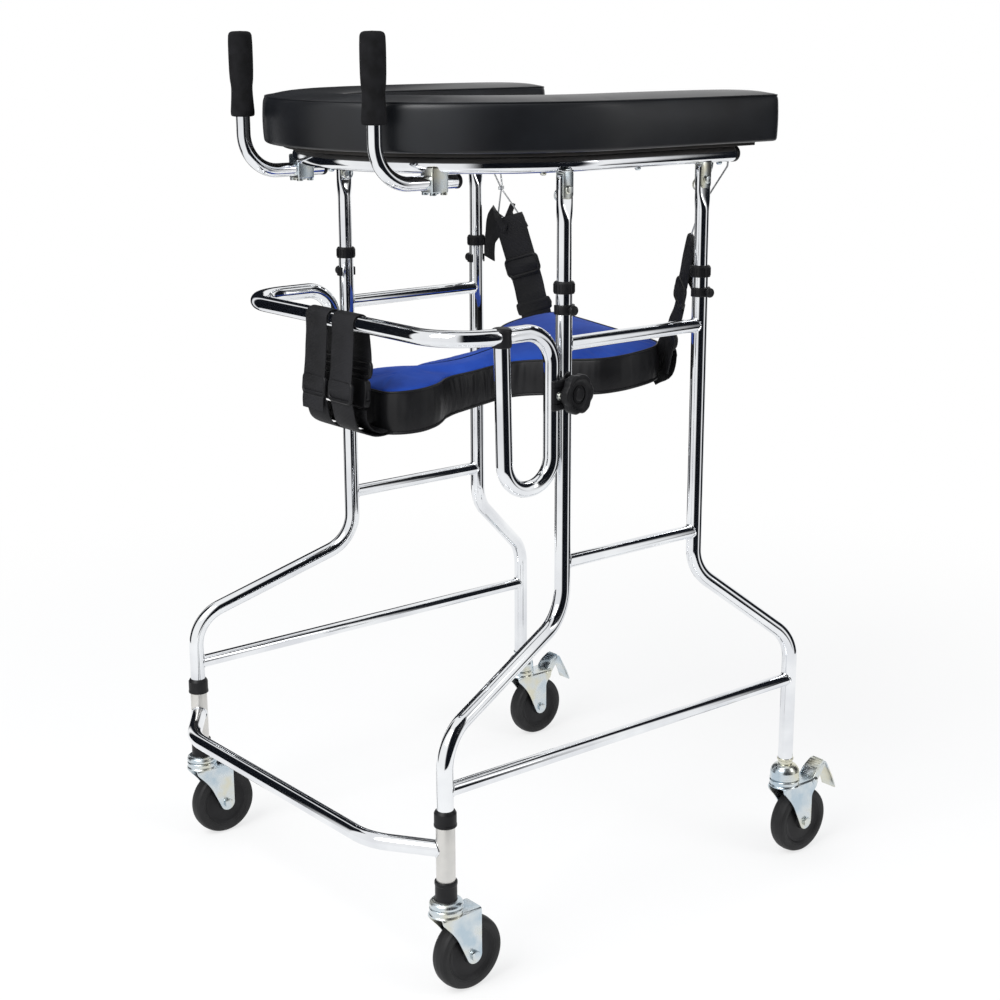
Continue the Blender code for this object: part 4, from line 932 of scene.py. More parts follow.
heights = [INNER_FOOT, 0.75, 0.90] + [ROUND_TOP + (TAB_LOW - ROUND_TOP) * i / 10 for i in range(11)]
heights += [TAB_TOP - TAB_CORNER + TAB_CORNER * math.sin(math.pi / 2 * i / 5) for i in range(6)]
inner = loft("inner", [squeezed_ring(z) for z in heights], CHROME)
drill_profile = [(0, 0.002), (HOLE_R, 0.002), (HOLE_R, 0.02), (0, 0.02)]
# The cutters' near-black finish, a painted shade, passes to the walls of the holes they cut
cutters = [place(lathe("drill", drill_profile, BORE_SHADE, 24, 0), shift(0, 0, CLIP_Z + k * HOLE_PITCH) @ Z_TO_X)
           for k in range(-4, 4)]
inner = smooth(carve(inner, gather("drills", *cutters)))
on_uprights(inner, "slide_tube", 0, "forearm_rest", "chrome_tube", "inner_tube")
print("4 inner tubes,", len(cutters), "cutters each")

# %% [markdown]
# ## Top frame, brackets and pins
# A U of the same tube carries the forearm pad. Under it, over each upright, sits a small folded
# bracket, and a headed pin with a split ring holds the flat end of the inner tube in it.

# %% Top frame and brackets
ARC_Y, FRAME_REAR_Y = -0.02855, 0.21745
FRONT_CORNER_Y = ARC_Y - UPRIGHT_HALF
ARC_BEND = UPRIGHT_HALF - 0.0001
frame_run = [(UPRIGHT_HALF, FRAME_REAR_Y, FRAME_Z), (UPRIGHT_HALF, FRONT_CORNER_Y, FRAME_Z, ARC_BEND),
             (-UPRIGHT_HALF, FRONT_CORNER_Y, FRAME_Z, ARC_BEND), (-UPRIGHT_HALF, FRAME_REAR_Y, FRAME_Z)]
frame_tube = tubes("frame_tube", [(TUBE_R, frame_run)], CHROME, bend_steps=48)

BRACKET_LOW, BRACKET_TOP, BRACKET_HALF, PLATE_T, PLATE_X = 1.008, 1.0462, 0.0085, 0.002, 0.0063
BRACKET_CORNER, WEB_T, WELD_DROP = 0.007, 0.0022, 0.0080
PIN_Z = 1.020
side_outline = soften([(-BRACKET_HALF, BRACKET_LOW), (BRACKET_HALF, BRACKET_LOW),
                       (BRACKET_HALF, BRACKET_TOP), (-BRACKET_HALF, BRACKET_TOP)], BRACKET_CORNER, True, 6)
parts = [place(plate("bracket_side", side_outline, PLATE_T, ZINC, 0.0004), shift(x, 0, 0) @ PLATE_TO_YZ)
         for x in (-PLATE_X, PLATE_X)]
web = brick("bracket_web", (2 * PLATE_X, 2 * BRACKET_HALF, WEB_T), ZINC, 0.0006)
parts.append(place(web, shift(0, 0, FRAME_Z - TUBE_R - 0.0001)))
corner = PLATE_X + PLATE_T / 2 + 0.0001
loop = soften(rectangle(corner, BRACKET_HALF), 0.002, True, 3)
parts.append(weld("bracket_weld", [[(x, y, FRAME_Z - WELD_DROP) for x, y in loop]], 0.0009, 18))
bracket = gather("bracket", *parts)
brackets = [twin(bracket, "bracket", shift(side * UPRIGHT_HALF, y, 0))
            for side in SIDES.values() for y in UPRIGHT_Y.values()]
discard(bracket)
settle(gather("top_frame_tubing", frame_tube, *brackets), "forearm_rest", "chrome_tube", "top_frame")

# %% Clevis pins with split rings
PIN_R, PIN_HEAD_R, PIN_OUT, RING_R, RING_STEPS = 0.003, 0.0057, 0.0076, 0.0075, 96
shank = lathe("shank", [(0, -PIN_OUT - 0.006), (0.0022, -PIN_OUT - 0.006), (PIN_R, -PIN_OUT - 0.005),
                        (PIN_R, PIN_OUT), (PIN_HEAD_R, PIN_OUT), (PIN_HEAD_R, PIN_OUT + 0.0016),
                        (0.0042, PIN_OUT + 0.0030), (0, PIN_OUT + 0.0034)], ZINC, 32, 0.0004)
coil = [(-PIN_OUT - 0.0046 + 0.0022 * i / RING_STEPS, RING_R * math.sin(4 * math.pi * i / RING_STEPS),
         -RING_R + RING_R * math.cos(4 * math.pi * i / RING_STEPS)) for i in range(RING_STEPS + 1)]
pin = gather("pin", place(shank, Z_TO_X), tubes("split_ring", [(0.0008, coil)], ZINC, 10))
on_uprights(pin, "pin", PIN_Z, "forearm_rest", "zinc_plate", "clevis_pin")

# %% End caps of the top frame
cap = lathe("cap", [(0, -0.003), (0.0114, -0.003), (0.0114, 0.0028), (0.0098, 0.0052), (0, 0.0060)], PLASTIC)
caps = [twin(cap, "cap", shift(side * UPRIGHT_HALF, FRAME_REAR_Y, FRAME_Z) @ Z_TO_Y)
        for side in SIDES.values()]
discard(cap)
settle(gather("top_frame_end_caps", *caps), "forearm_rest", "black_plastic")
print("top frame, 4 brackets, 4 pins, 2 caps")

# %% [markdown]
# ## Screws along the board
# The board is held by screws that come up through the top tube. They sit at even steps along it, so
# their heads are set on points of the same run, in a group that takes any small shape.

# %% Screw heads under the top frame
SCREW_COUNT, REAR_SCREW_GAP = 9, 0.026
ROW, given = new_tree("row_of_shapes", [("Int", "Count"), ("Object", "Shape"), ("Material", "Material")])
spots = add_node(ROW, "GeometryNodeCurveToPoints", {"mode": "COUNT"},
                 {"Curve": with_bends(ROW, given, 24), "Count": given["Count"]})
set_on(ROW, spots.outputs[0], given)

head = lathe("head", [(0, -0.0022), (0.0012, -0.0024), (0.0014, -0.0034), (0.0030, -0.0030),
                      (0.0042, -0.0012), (0.0042, 0), (0, 0)], ZINC, 16, 0.0003)
screw_run = [(x, y - (REAR_SCREW_GAP if y == FRAME_REAR_Y else 0), FRAME_Z - TUBE_R + 0.0002, *bend)
             for x, y, z, *bend in frame_run]
screws = grow("board_screw_heads", lines("screw_run", [(1.0, screw_run)]), ROW,
              **{"Count": SCREW_COUNT, "Shape": head, "Material": ZINC})
settle(screws, "forearm_rest", "zinc_plate")
discard(head)
print(SCREW_COUNT, "screw heads")

# %% [markdown]
# ## Hand grips
# Two bent tubes stand up in front of the pad, each held under the top frame by a small saddle clamp
# with two bolts. A foam sleeve is pushed over each: a barrel for the palm, a waist below it and a
# flare at its foot. The foam is turned from its measured profile.

# %% Handle tubes and end plugs
GRIP_HALF, HANDLE_R = 0.153, 0.0095
CROSSING_Y, GRIP_Y = -0.22375, -0.31505
GRIP_TOP, HANDLE_Z = 1.2165, 1.0305
HANDLE_END_Y = CROSSING_Y + 0.036
handle_run = [(GRIP_HALF, GRIP_Y, GRIP_TOP - 0.006), (GRIP_HALF, GRIP_Y, HANDLE_Z, 0.052),
              (GRIP_HALF, HANDLE_END_Y, HANDLE_Z)]
plug = lathe("plug", [(0, -0.004), (0.0098, -0.004), (0.0098, 0.0012), (0.0084, 0.0030), (0, 0.0034)],
             PLASTIC, 40)
handle = gather("handle", tubes("handle_tube", [(HANDLE_R, handle_run)], CHROME, bend_steps=26),
                place(plug, shift(GRIP_HALF, HANDLE_END_Y, HANDLE_Z) @ Z_TO_Y))

# %% Foam grips
GRIP_PROFILE = [(0, 0), (0.0105, -0.0004), (0.0142, -0.0020), (0.0158, -0.0055), (0.0163, -0.016),
                (0.0164, -0.034), (0.0162, -0.052), (0.0156, -0.064), (0.0146, -0.070), (0.0143, -0.076),
                (0.0147, -0.086), (0.0156, -0.098), (0.0162, -0.106), (0.0156, -0.111), (0.0120, -0.112),
                (0, -0.112)]
grip = place(lathe("grip", GRIP_PROFILE, FOAM, 64, 0.004), shift(GRIP_HALF, GRIP_Y, GRIP_TOP))

# %% Saddle clamps with their bolts
CLAMP_HALF, CLAMP_HALF_LONG, BOLT_OUT, BOLT_R, BOLT_T = 0.0129, 0.013, 0.0085, 0.0046, 0.0034
block_low, block_top = HANDLE_Z - CLAMP_HALF, FRAME_Z - 0.001
block = brick("block", (2 * CLAMP_HALF, 2 * CLAMP_HALF_LONG, block_top - block_low), ZINC, 0.0022, 4)
place(block, shift(GRIP_HALF, CROSSING_Y, (block_low + block_top) / 2))
bolts = [place(plate("bolt", round_points(BOLT_R, 6), BOLT_T, ZINC, 0.0005),
               shift(GRIP_HALF + dx, CROSSING_Y + dy, block_low - 0.0012))
         for dy in (-BOLT_OUT, BOLT_OUT) for dx in (-BOLT_OUT, BOLT_OUT)]
clamp = gather("clamp", block, *bolts)
for label, side in SIDES.items():
    copy_to(handle, label + "_handle", to_side(side), "forearm_rest", "chrome_tube", label + "_handle_tube")
    copy_to(clamp, label + "_clamp", to_side(side), "forearm_rest", "zinc_plate", label + "_handle_clamp")
    foam = copy_to(grip, label + "_grip", to_side(side), "forearm_rest", "grip_foam", label + "_hand_grip")
discard(handle, grip, clamp)
print("2 handles, grips and clamps")

# %% [markdown]
# ## Guard bar
# A bar runs round the front of the body. At each side it turns down just ahead of the front upright.
# On the right it ends there. On the left it makes a U and comes up again, and a black tee collar ties
# its end to the bar. It is one run with seven corners for the bent tube group, as it is bent in the
# workshop.

# %% Guard bar with its loop
CLAMP_ANGLE, LEG_GAP = 8.0, 0.0236
outward = Vector((math.cos(math.radians(CLAMP_ANGLE)), math.sin(math.radians(CLAMP_ANGLE)), 0))
across = Vector((-outward.y, outward.x, 0))
guard_leg = Vector((UPRIGHT_HALF, UPRIGHT_Y["front"], 0)) - across * LEG_GAP
GUARD_Z, GUARD_FRONT_Y, GUARD_FOOT_Z = 0.843, -0.27455, 0.680
LOOP_SPACING, LOOP_LOW, LOOP_LEAN = 0.0836, 0.638, 0.005
LOOP_BEND, SHOULDER_BEND, GUARD_BEND = 0.0388, 0.045, 0.075
LOOP_X, LOOP_Y, TEE_Y = guard_leg.x, guard_leg.y, guard_leg.y - LOOP_SPACING
guard_run = [(LOOP_X, TEE_Y, GUARD_Z), (LOOP_X, TEE_Y + LOOP_LEAN, LOOP_LOW, LOOP_BEND),
             (LOOP_X, LOOP_Y, LOOP_LOW, LOOP_BEND), (LOOP_X, LOOP_Y, GUARD_Z, SHOULDER_BEND),
             (LOOP_X, GUARD_FRONT_Y, GUARD_Z, GUARD_BEND), (-LOOP_X, GUARD_FRONT_Y, GUARD_Z, GUARD_BEND),
             (-LOOP_X, LOOP_Y, GUARD_Z, SHOULDER_BEND), (-LOOP_X, LOOP_Y, GUARD_FOOT_Z)]
guard_tube = tubes("guard_tube", [(TUBE_R, guard_run)], CHROME, bend_steps=24)
tee = lathe("tee", [(0, -0.0140), (0.0122, -0.0140), (0.0130, -0.0128), (0.0132, 0.0070), (0.0124, 0.0098),
                    (0.0095, 0.0112), (0, 0.0114)], PLASTIC, 48)
tee_collar = gather("guard_tee_collar", place(tee, shift(LOOP_X, TEE_Y, GUARD_Z)))
settle(tee_collar, "guard", "black_plastic")
settle(guard_tube, "guard", "chrome_tube", "guard_bar")
guard_tube.name = "guard_bar_tubing"
print("guard bar", len(guard_tube.data.polygons), "faces")

# %% [markdown]
# ## Clamp jaws and knobs
# A moulded jaw sits on the upright and reaches forward round the outer side of the guard's leg. A
# lobed hand knob with a steel stud draws it tight. The knob's outline is a circle with six shallow
# scallops; its face is dished by a turned cutter, and a raised cap covers the stud.

# %% Clamp jaws
CLAMP_Z, JAW_HALF, JAW_HEIGHT = 0.758, 0.0138, 0.040
GROOVE_Z, GROOVE_WIDE, GROOVE_DEEP = 0.0105, 0.0016, 0.001
upright = Vector((UPRIGHT_HALF, UPRIGHT_Y["front"], CLAMP_Z))
clamp_turn = Matrix((outward, across, (0, 0, 1))).transposed().to_4x4()


def jaw_outline(shrink):
    """The jaw from above in (outward, rearward): its inner lip ends beside the leg, its outer one beyond."""
    w = JAW_HALF - shrink
    return soften([(-w, w), (-w, -LEG_GAP + 0.002), (0, -LEG_GAP - 0.004),
                   (w - 0.0045, -LEG_GAP - 0.0105 + shrink), (w, -LEG_GAP - 0.0070), (w, w)], 0.0045, True, 6)


jaw = plate("jaw", jaw_outline(0), JAW_HEIGHT, PLASTIC, 0.0022, 4)
for height in (-GROOVE_Z, GROOVE_Z):
    groove = brick("groove", (0.05, 0.09, GROOVE_WIDE), PLASTIC, 0)
    core = plate("core", jaw_outline(GROOVE_DEEP), 0.004, PLASTIC, 0)
    smooth(carve(jaw, place(carve(groove, core), shift(0, 0, height))))
washer = lathe("washer", [(0, 0), (0.0058, 0), (0.0058, 0.0010), (0.0042, 0.0010), (0.0042, 0.0030),
                          (0.0032, 0.0040), (0, 0.0042)], ZINC, 24)
place(washer, shift(JAW_HALF - 0.0002, -LEG_GAP, 0) @ Z_TO_X)
jaw_set = place(gather("jaw_set", jaw, washer), shift(*upright) @ clamp_turn)
on_both_sides(jaw_set, "jaw", "base", "black_plastic", "clamp_jaw")

# %% Hand knobs
KNOB_R, KNOB_LOBES, LOBE_DEPTH, KNOB_LOW, KNOB_TOP = 0.027, 6, 0.0022, 0.0171, 0.0301
KNOB_STEPS, NECK_R = 144, 0.0112
outline = []
for i in range(KNOB_STEPS):
    a = 2 * math.pi * i / KNOB_STEPS
    r = KNOB_R - LOBE_DEPTH * (0.5 - 0.5 * math.cos(KNOB_LOBES * a)) ** 3
    outline.append((r * math.cos(a), r * math.sin(a)))
knob_body = plate("knob_body", outline, KNOB_TOP - KNOB_LOW, PLASTIC, 0.0028, 5)
place(knob_body, shift(0, 0, (KNOB_LOW + KNOB_TOP) / 2))
dish = lathe("dish", [(0, 0.0268), (0.0180, 0.0268), (0.0222, 0.0310), (0, 0.0310)], PLASTIC, 64, 0.002)
ring_cut = lathe("ring_cut", [(0.0108, 0.0250), (0.0130, 0.0250), (0.0130, 0.0275), (0.0108, 0.0275)],
                 PLASTIC, 64, 0.0003)
smooth(carve(knob_body, dish, ring_cut))
knob_cap = lathe("knob_cap", [(0, 0.0250), (0.0092, 0.0250), (0.0092, 0.0278), (0.0070, 0.0292), (0, 0.0296)],
                 PLASTIC, 48)
knob_neck = lathe("knob_neck", [(0, 0.0141), (0.0100, 0.0141), (NECK_R, 0.0155), (NECK_R, 0.0180),
                                (0, 0.0180)], PLASTIC)
knob_ribs = rib_ring("knob_ribs", 0.0160, NECK_R, 18, (0.0012, 0.0018, 0.0030))
stud = lathe("stud", [(0, 0.0113), (0.004, 0.0113), (0.004, 0.0145), (0, 0.0145)], ZINC, 24)
knob = gather("knob", knob_body, knob_cap, knob_neck, knob_ribs, stud)
knob_place = shift(*upright) @ outward.to_track_quat("Z", "Y").to_matrix().to_4x4()
on_both_sides(knob, "hand_knob", "{}_knob", "black_plastic", "clamp_knob", knob_place)
print("2 jaws, 2 knobs")

# %% [markdown]
# ## Casters
# Each caster is a pressed zinc-plated yoke under a ball race, a solid black wheel on an axle bolt, and
# a stem in the leg. The yoke is folded sheet: a channel with round folds is crossed with the outline
# of its side view, and what they share is the yoke. The rear ones flare into a horn for the pedal.

# %% Wheels
WHEEL_R, TRAIL = 0.0508, 0.033


def both_faces(half, *middle):
    """A profile that is the same on both faces of a wheel."""
    return [*half, *middle, *((r, -z) for r, z in half[::-1])]


tyre_half = [(0.0335, 0.0088), (0.0350, 0.0100), (0.0372, 0.0122), (0.0382, 0.0114), (0.0392, 0.0123),
             (0.0440, 0.0125), (0.0480, 0.0112), (0.0500, 0.0072), (0.0507, 0.0010)]
tyre = lathe("tyre", both_faces(tyre_half, (WHEEL_R, 0)), WHEEL, 96, 0.0008)
hub_half = [(0.0044, 0.01375), (0.0100, 0.01375), (0.0120, 0.0128), (0.0132, 0.0092), (0.0300, 0.0082),
            (0.0345, 0.0094)]
hub = lathe("hub", both_faces(hub_half), PLASTIC, 64, 0.0008)
on_axle = shift(0, TRAIL, WHEEL_R) @ Z_TO_X
wheel = place(gather("wheel", tyre, hub), on_axle)


# %% Axle bolts and nuts
def hex_head(name, radius, thick, at):
    """A six-sided head at a place along an axle."""
    return place(plate(name, round_points(radius, 6), thick, ZINC, 0.0006), shift(0, 0, at))


FORK_OUT, HEX_R = 0.017, 0.0074
near_washer = lathe("near_washer", [(0, FORK_OUT), (0.0062, FORK_OUT), (0.0062, FORK_OUT + 0.0009),
                                    (0, FORK_OUT + 0.0009)], ZINC, 32, 0.0002)
far_washer = lathe("far_washer", [(0, -FORK_OUT - 0.0012), (0.0068, -FORK_OUT - 0.0008), (0.0068, -FORK_OUT),
                                  (0, -FORK_OUT)], ZINC, 32, 0.0002)
bolt_tip = lathe("bolt_tip", [(0, -FORK_OUT), (0.0034, -FORK_OUT), (0.0034, -FORK_OUT - 0.0040),
                              (0.0026, -FORK_OUT - 0.0046), (0, -FORK_OUT - 0.0046)], ZINC, 24, 0.0002)
shaft = lathe("shaft", [(0, -FORK_OUT), (0.004, -FORK_OUT), (0.004, FORK_OUT), (0, FORK_OUT)], ZINC, 24, 0)
axle = gather("axle", near_washer, far_washer, bolt_tip, shaft,
              hex_head("bolt_head", HEX_R, 0.0034, FORK_OUT + 0.0024),
              hex_head("nut", HEX_R, 0.0028, -FORK_OUT - 0.0022))
place(axle, on_axle)

# %% Yokes
FORK_TOP, FORK_SHEET, FORK_NOSE, EYE_R, HORN = 0.1165, 0.0025, 0.018, 0.012, 0.012
FORK_TAIL, OVER_TOP = TRAIL + EYE_R, FORK_TOP + 0.004
PIVOT_Y, PIVOT_Z = 0.050, 0.111


def fork_outline(end):
    """The side view of a yoke in (y, z): slanted in front, round at the eye, straight behind."""
    eye = arc((TRAIL, WHEEL_R), EYE_R, -155, 0, 16)
    slant = soften([(-FORK_NOSE, FORK_TOP), (-FORK_NOSE + 0.001, 0.1085), (0.0040, 0.0850), eye[0]],
                   0.014, steps=6)
    points = [(-FORK_NOSE, OVER_TOP), *slant[1:-1], *eye]
    if end == "rear":
        points += soften([(FORK_TAIL, 0.066), (FORK_TAIL, FORK_TOP - 2 * HORN),
                          (FORK_TAIL + HORN, FORK_TOP - HORN), (FORK_TAIL + HORN, OVER_TOP)], 0.006, steps=5)
    else:
        points += [(FORK_TAIL, OVER_TOP)]
    return points


def yoke(end):
    """The folded channel and the side view, crossed."""
    legs = 0.03
    inside, under = FORK_OUT - FORK_SHEET, FORK_TOP - FORK_SHEET
    fold = soften([(-FORK_OUT, legs), (-FORK_OUT, FORK_TOP), (FORK_OUT, FORK_TOP), (FORK_OUT, legs)],
                  0.0045, steps=6)
    fold += soften([(inside, legs), (inside, under), (-inside, under), (-inside, legs)], 0.002, steps=4)
    channel = place(plate("yoke_" + end, fold, 0.10, ZINC, 0), shift(0, 0.02, 0) @ rotation(90, "X"))
    view = place(plate("view", fork_outline(end), 0.06, ZINC, 0), PLATE_TO_YZ)
    carve(channel, view, operation="INTERSECT")
    return smooth(round_edges(channel, 0.0004, 2, 60))


def lower_race():
    """The pressed ball race on a yoke."""
    return lathe("race", [(0, 0.1264), (0.0205, 0.1264), (0.0222, 0.1252), (0.0226, 0.1228), (0.0214, 0.1200),
                          (0.0220, 0.1178), (0.0232, 0.1164), (0.0225, 0.1150), (0, 0.1150)],
                 ZINC, 64, 0.0008)


balls_ring = lathe("balls_ring", [(0, 0.1262), (0.0180, 0.1262), (0.0180, 0.1272), (0, 0.1272)],
                   PLASTIC, 48, 0)
front_fork = gather("front_fork", yoke("front"), lower_race(), balls_ring)
pivot = lathe("pivot", [(0, -FORK_OUT - 0.0014), (0.0038, -FORK_OUT - 0.0010), (0.0042, -FORK_OUT),
                        (0.0042, FORK_OUT), (0.0038, FORK_OUT + 0.0010), (0, FORK_OUT + 0.0014)], ZINC, 32)
place(pivot, shift(0, PIVOT_Y, PIVOT_Z) @ Z_TO_X)
rear_fork = gather("rear_fork", yoke("rear"), lower_race(), pivot)

# %% Stems with bearing cups
cup = lathe("cup", [(0, 0.1362), (0.0150, 0.1362), (0.0186, 0.1353), (0.0214, 0.1330), (0.0224, 0.1300),
                    (0.0222, 0.1272), (0, 0.1272)], ZINC, 64, 0.0008)
foot_collar = lathe("foot_collar", [(0, LEG_FOOT + 0.004), (0.0140, LEG_FOOT + 0.004),
                                    (0.0150, LEG_FOOT + 0.0030), (0.0150, LEG_FOOT - 0.001),
                                    (0.0144, LEG_FOOT - 0.002), (0.0144, 0.1368), (0.0150, 0.1360),
                                    (0, 0.1360)], PLASTIC, 64)
front_stem = gather("front_stem", cup, foot_collar)
dome = lathe("dome", [(0, 0.1505), (0.0125, 0.1500), (0.0165, 0.1475), (0.0200, 0.1430), (0.0215, 0.1385),
                      (0.0218, 0.1310), (0.0222, 0.1272), (0, 0.1272)], ZINC, 64, 0.0006)
shoulder = lathe("shoulder", [(0, LEG_FOOT + 0.001), (0.0122, LEG_FOOT + 0.001), (0.0122, LEG_FOOT - 0.002),
                              (0.0108, LEG_FOOT - 0.003), (0.0108, 0.1490), (0, 0.1490)], ZINC, 64, 0.0006)
rear_stem = gather("rear_stem", dome, shoulder)

# %% Brake pedals
PEDAL_RUN = ((0.008, -0.0115), (0.001, 0), (0.008, 0.015), (0.027, 0.026), (0.046, -0.008), (0.053, -0.025))
PEDAL_SHEET, PEDAL_WIDE, EAR_X, RIDGES = 0.0022, 0.026, 0.0125, 5


def strip(run, thickness):
    """The outline of a sheet seen from its edge, along a run of points."""
    points = [Vector(p) for p in run]
    near, far = [], []
    for i, here in enumerate(points):
        line = (points[min(i + 1, len(points) - 1)] - points[max(i - 1, 0)]).normalized()
        side = Vector((-line.y, line.x)) * thickness / 2
        near.append(here + side)
        far.append(here - side)
    return [tuple(p) for p in near + far[::-1]]


pedal_line = strip(soften(PEDAL_RUN, 0.006, steps=5), PEDAL_SHEET)
parts = [place(plate("pedal_sheet", pedal_line, PEDAL_WIDE, ZINC, 0.0004), PLATE_TO_YZ)]
ear_outline = soften([(-0.006, -0.005), (0.007, -0.006), (0.028, 0.020), (0.022, 0.024), (0.006, 0.014)],
                     0.004, True)
for x in (-EAR_X, EAR_X):
    parts.append(place(plate("pedal_ear", ear_outline, 0.0018, ZINC, 0.0003), shift(x, 0, 0) @ PLATE_TO_YZ))
tread_from, tread_to = Vector((0, 0.011, 0.0178)), Vector((0, 0.0255, 0.0262))
slope = Matrix.Rotation(math.atan2(tread_to.z - tread_from.z, tread_to.y - tread_from.y), 4, "X")
for i in range(RIDGES):
    ridge = brick("ridge", (0.021, 0.0014, 0.0014), ZINC, 0.0005)
    parts.append(place(ridge, shift(*tread_from.lerp(tread_to, i / (RIDGES - 1))) @ slope))
pedal = place(gather("pedal", *parts), shift(0, PIVOT_Y, PIVOT_Z))

# %% The four casters
FORKS = {"front": front_fork, "rear": rear_fork}
STEMS = {"front": (front_stem, "black_plastic"), "rear": (rear_stem, "zinc_plate")}
for label, side in SIDES.items():
    for end, y in LEG_Y.items():
        corner = f"{label}_{end}_"
        there = shift(side * BASE_HALF, y, 0)
        stem, stem_slot = STEMS[end]
        copy_to(wheel, corner + "wheel_and_tyre", there, corner + "wheel", "wheel_polymer",
                corner + "caster_wheel")
        copy_to(axle, corner + "axle_bolt", there, corner + "fork", "zinc_plate", corner + "caster_axle")
        copy_to(FORKS[end], corner + "yoke", there, corner + "fork", "zinc_plate", corner + "caster_fork")
        copy_to(stem, corner + "stem", there, "base", stem_slot, corner + "caster_stem")
    rear_foot = shift(side * BASE_HALF, LEG_Y["rear"], 0)
    copy_to(pedal, label + "_brake_lever", rear_foot, label + "_pedal", "zinc_plate",
            label + "_brake_pedal")
discard(wheel, axle, front_fork, rear_fork, front_stem, rear_stem, pedal)
print("4 casters, 2 pedals")

# %% [markdown]
# ## Fabrics
# The cloths: brushed blue knit on the seat's top, coated black nylon round its sides, woven webbing
# and thread. Webbing has ribs across its length; they come from the strap's own map in metres, so a
# rib is the same size on every strap and turns with it.

# %% Fabrics
# Blue brushed knit: matt and slightly fuzzy, its pile clumps over a millimetre or two
BLUE = finish("brushed_blue_knit", ["1E409A", "2448A6", "2A50B0"], (0.82, 0.94), drift=16.0,
              grain=("noise", 620.0, 0.0004, 0.50), specular=0.10, sheen=(0.06, 0.45))
# Black coated nylon: smooth enough for soft highlights on its gathers
NYLON = finish("coated_black_nylon", ["111113", "19191B"], (0.36, 0.50), drift=22.0,
               grain=("noise", 1300.0, 0.0001, 0.20), specular=0.28)
# Polyester sewing thread
THREAD = finish("polyester_thread", ["101012", "1A1A1C"], (0.55, 0.65), drift=90.0)
RIB, RIB_HEIGHT, WARP_SHARE = 0.0021, 0.0004, 0.35


def webbing_finish(name, colours):
    """Woven strap: ribs across it, crossed by finer and fainter warps along it."""
    made = finish(name, colours, (0.55, 0.72), drift=26.0, specular=0.22)
    tree = made.node_tree
    shader = next(node for node in tree.nodes if node.type == "BSDF_PRINCIPLED")
    strap_map = add_node(tree, "ShaderNodeUVMap", {"uv_map": "metres"}).outputs[0]
    ribs, warps = [add_node(tree, "ShaderNodeTexWave", {"bands_direction": way},
                            {"Vector": strap_map, "Scale": math.pi / (per_scale * RIB)}).outputs["Fac"]
                   for way, per_scale in (("Y", 10), ("X", 8))]
    both = maths(tree, "MULTIPLY_ADD", warps, WARP_SHARE, ribs)
    bump = add_node(tree, "ShaderNodeBump", {}, {"Height": both, "Distance": RIB_HEIGHT, "Strength": 0.55})
    tree.links.new(bump.outputs["Normal"], shader.inputs["Normal"])
    return made


WEBBING = webbing_finish("polyester_webbing", ["151517", "1D1D20"])

# %% [markdown]
# ## Blown-up covers and stitches
# A cushion's cover is cut flat and takes its shape from its filling. Here a closed skin of even quads
# is blown up as cloth from inside for twenty frames, with its seams held, and no point may move
# further than a few millimetres. The seams stay sharp and the cloth between them crowns, as it does
# in a real cushion. Stitches are one short capsule set along the seam by Geometry Nodes.

# %% Cloth helper
def blow_up(piece, held, pressure=4.0, cap=0.005, frames=20):
    """Blows a closed skin up as cloth with the held points fixed, and limits how far a point moves."""
    start = [v.co.copy() for v in piece.data.vertices]
    piece.vertex_groups.new(name="held").add(held, 1.0, "REPLACE")
    cloth = piece.modifiers.new("cloth", "CLOTH")
    cloth.settings.vertex_group_mass = "held"
    cloth.settings.quality = 4
    cloth.settings.mass = 0.3
    cloth.settings.bending_stiffness = 0.6
    cloth.settings.use_pressure = True
    cloth.settings.uniform_pressure_force = pressure
    cloth.settings.effector_weights.gravity = 0
    cloth.collision_settings.use_collision = False
    cloth.point_cache.frame_start = 1
    cloth.point_cache.frame_end = frames
    for frame in range(1, frames + 1):
        bpy.context.scene.frame_set(frame)
    bake(piece)
    bpy.context.scene.frame_set(1)
    moved = []
    for vertex, was in zip(piece.data.vertices, start):
        step = vertex.co - was
        moved.append(step.length)
        if step.length > cap:
            vertex.co = was + step * (cap / step.length)
    print(piece.name, "cloth moved", round(1000 * max(moved), 1), "mm at most, limit", 1000 * cap)
    finer = piece.modifiers.new("finer", "SUBSURF")
    finer.levels = finer.render_levels = 1
    bake(piece)
    return smooth(piece, 60)


# %% Stitch group
STITCHES, given = new_tree("stitch_row", [("Float", "Stitch Step"), ("Object", "Shape"),
                                          ("Material", "Material")])
spots = add_node(STITCHES, "GeometryNodeCurveToPoints", {"mode": "LENGTH"},
                 {"Curve": as_curve(STITCHES, given), "Length": given["Stitch Step"]})
turned = add_node(STITCHES, "FunctionNodeAlignRotationToVector", {"axis": "X"},
                  {"Vector": spots.outputs["Tangent"]})
set_on(STITCHES, spots.outputs["Points"], given, Rotation=turned.outputs[0])

STITCH_LONG, STITCH_R, STITCH_STEP = 0.0032, 0.00035, 0.0044
stitch_profile = [(0, -STITCH_LONG / 2), (STITCH_R, -0.4 * STITCH_LONG), (STITCH_R, 0.4 * STITCH_LONG),
                  (0, STITCH_LONG / 2)]
stitch = place(lathe("stitch", stitch_profile, THREAD, 6, 0), Z_TO_X)


def stitches(name, runs, closed=False):
    """Stitches at even steps along runs of points."""
    return grow(name, lines(name, [(1.0, run) for run in runs], closed), STITCHES,
                **{"Stitch Step": STITCH_STEP, "Shape": stitch, "Material": THREAD})


# %% [markdown]
# ## Forearm pad and board
# The pad is one U of foam under black leather cloth, stapled under its board. Its section is swept
# along the middle line of the U, a half circle with two straights. A seam runs round the top, where
# the top panel meets the side band: it is held while the cloth is blown up, and stitched.

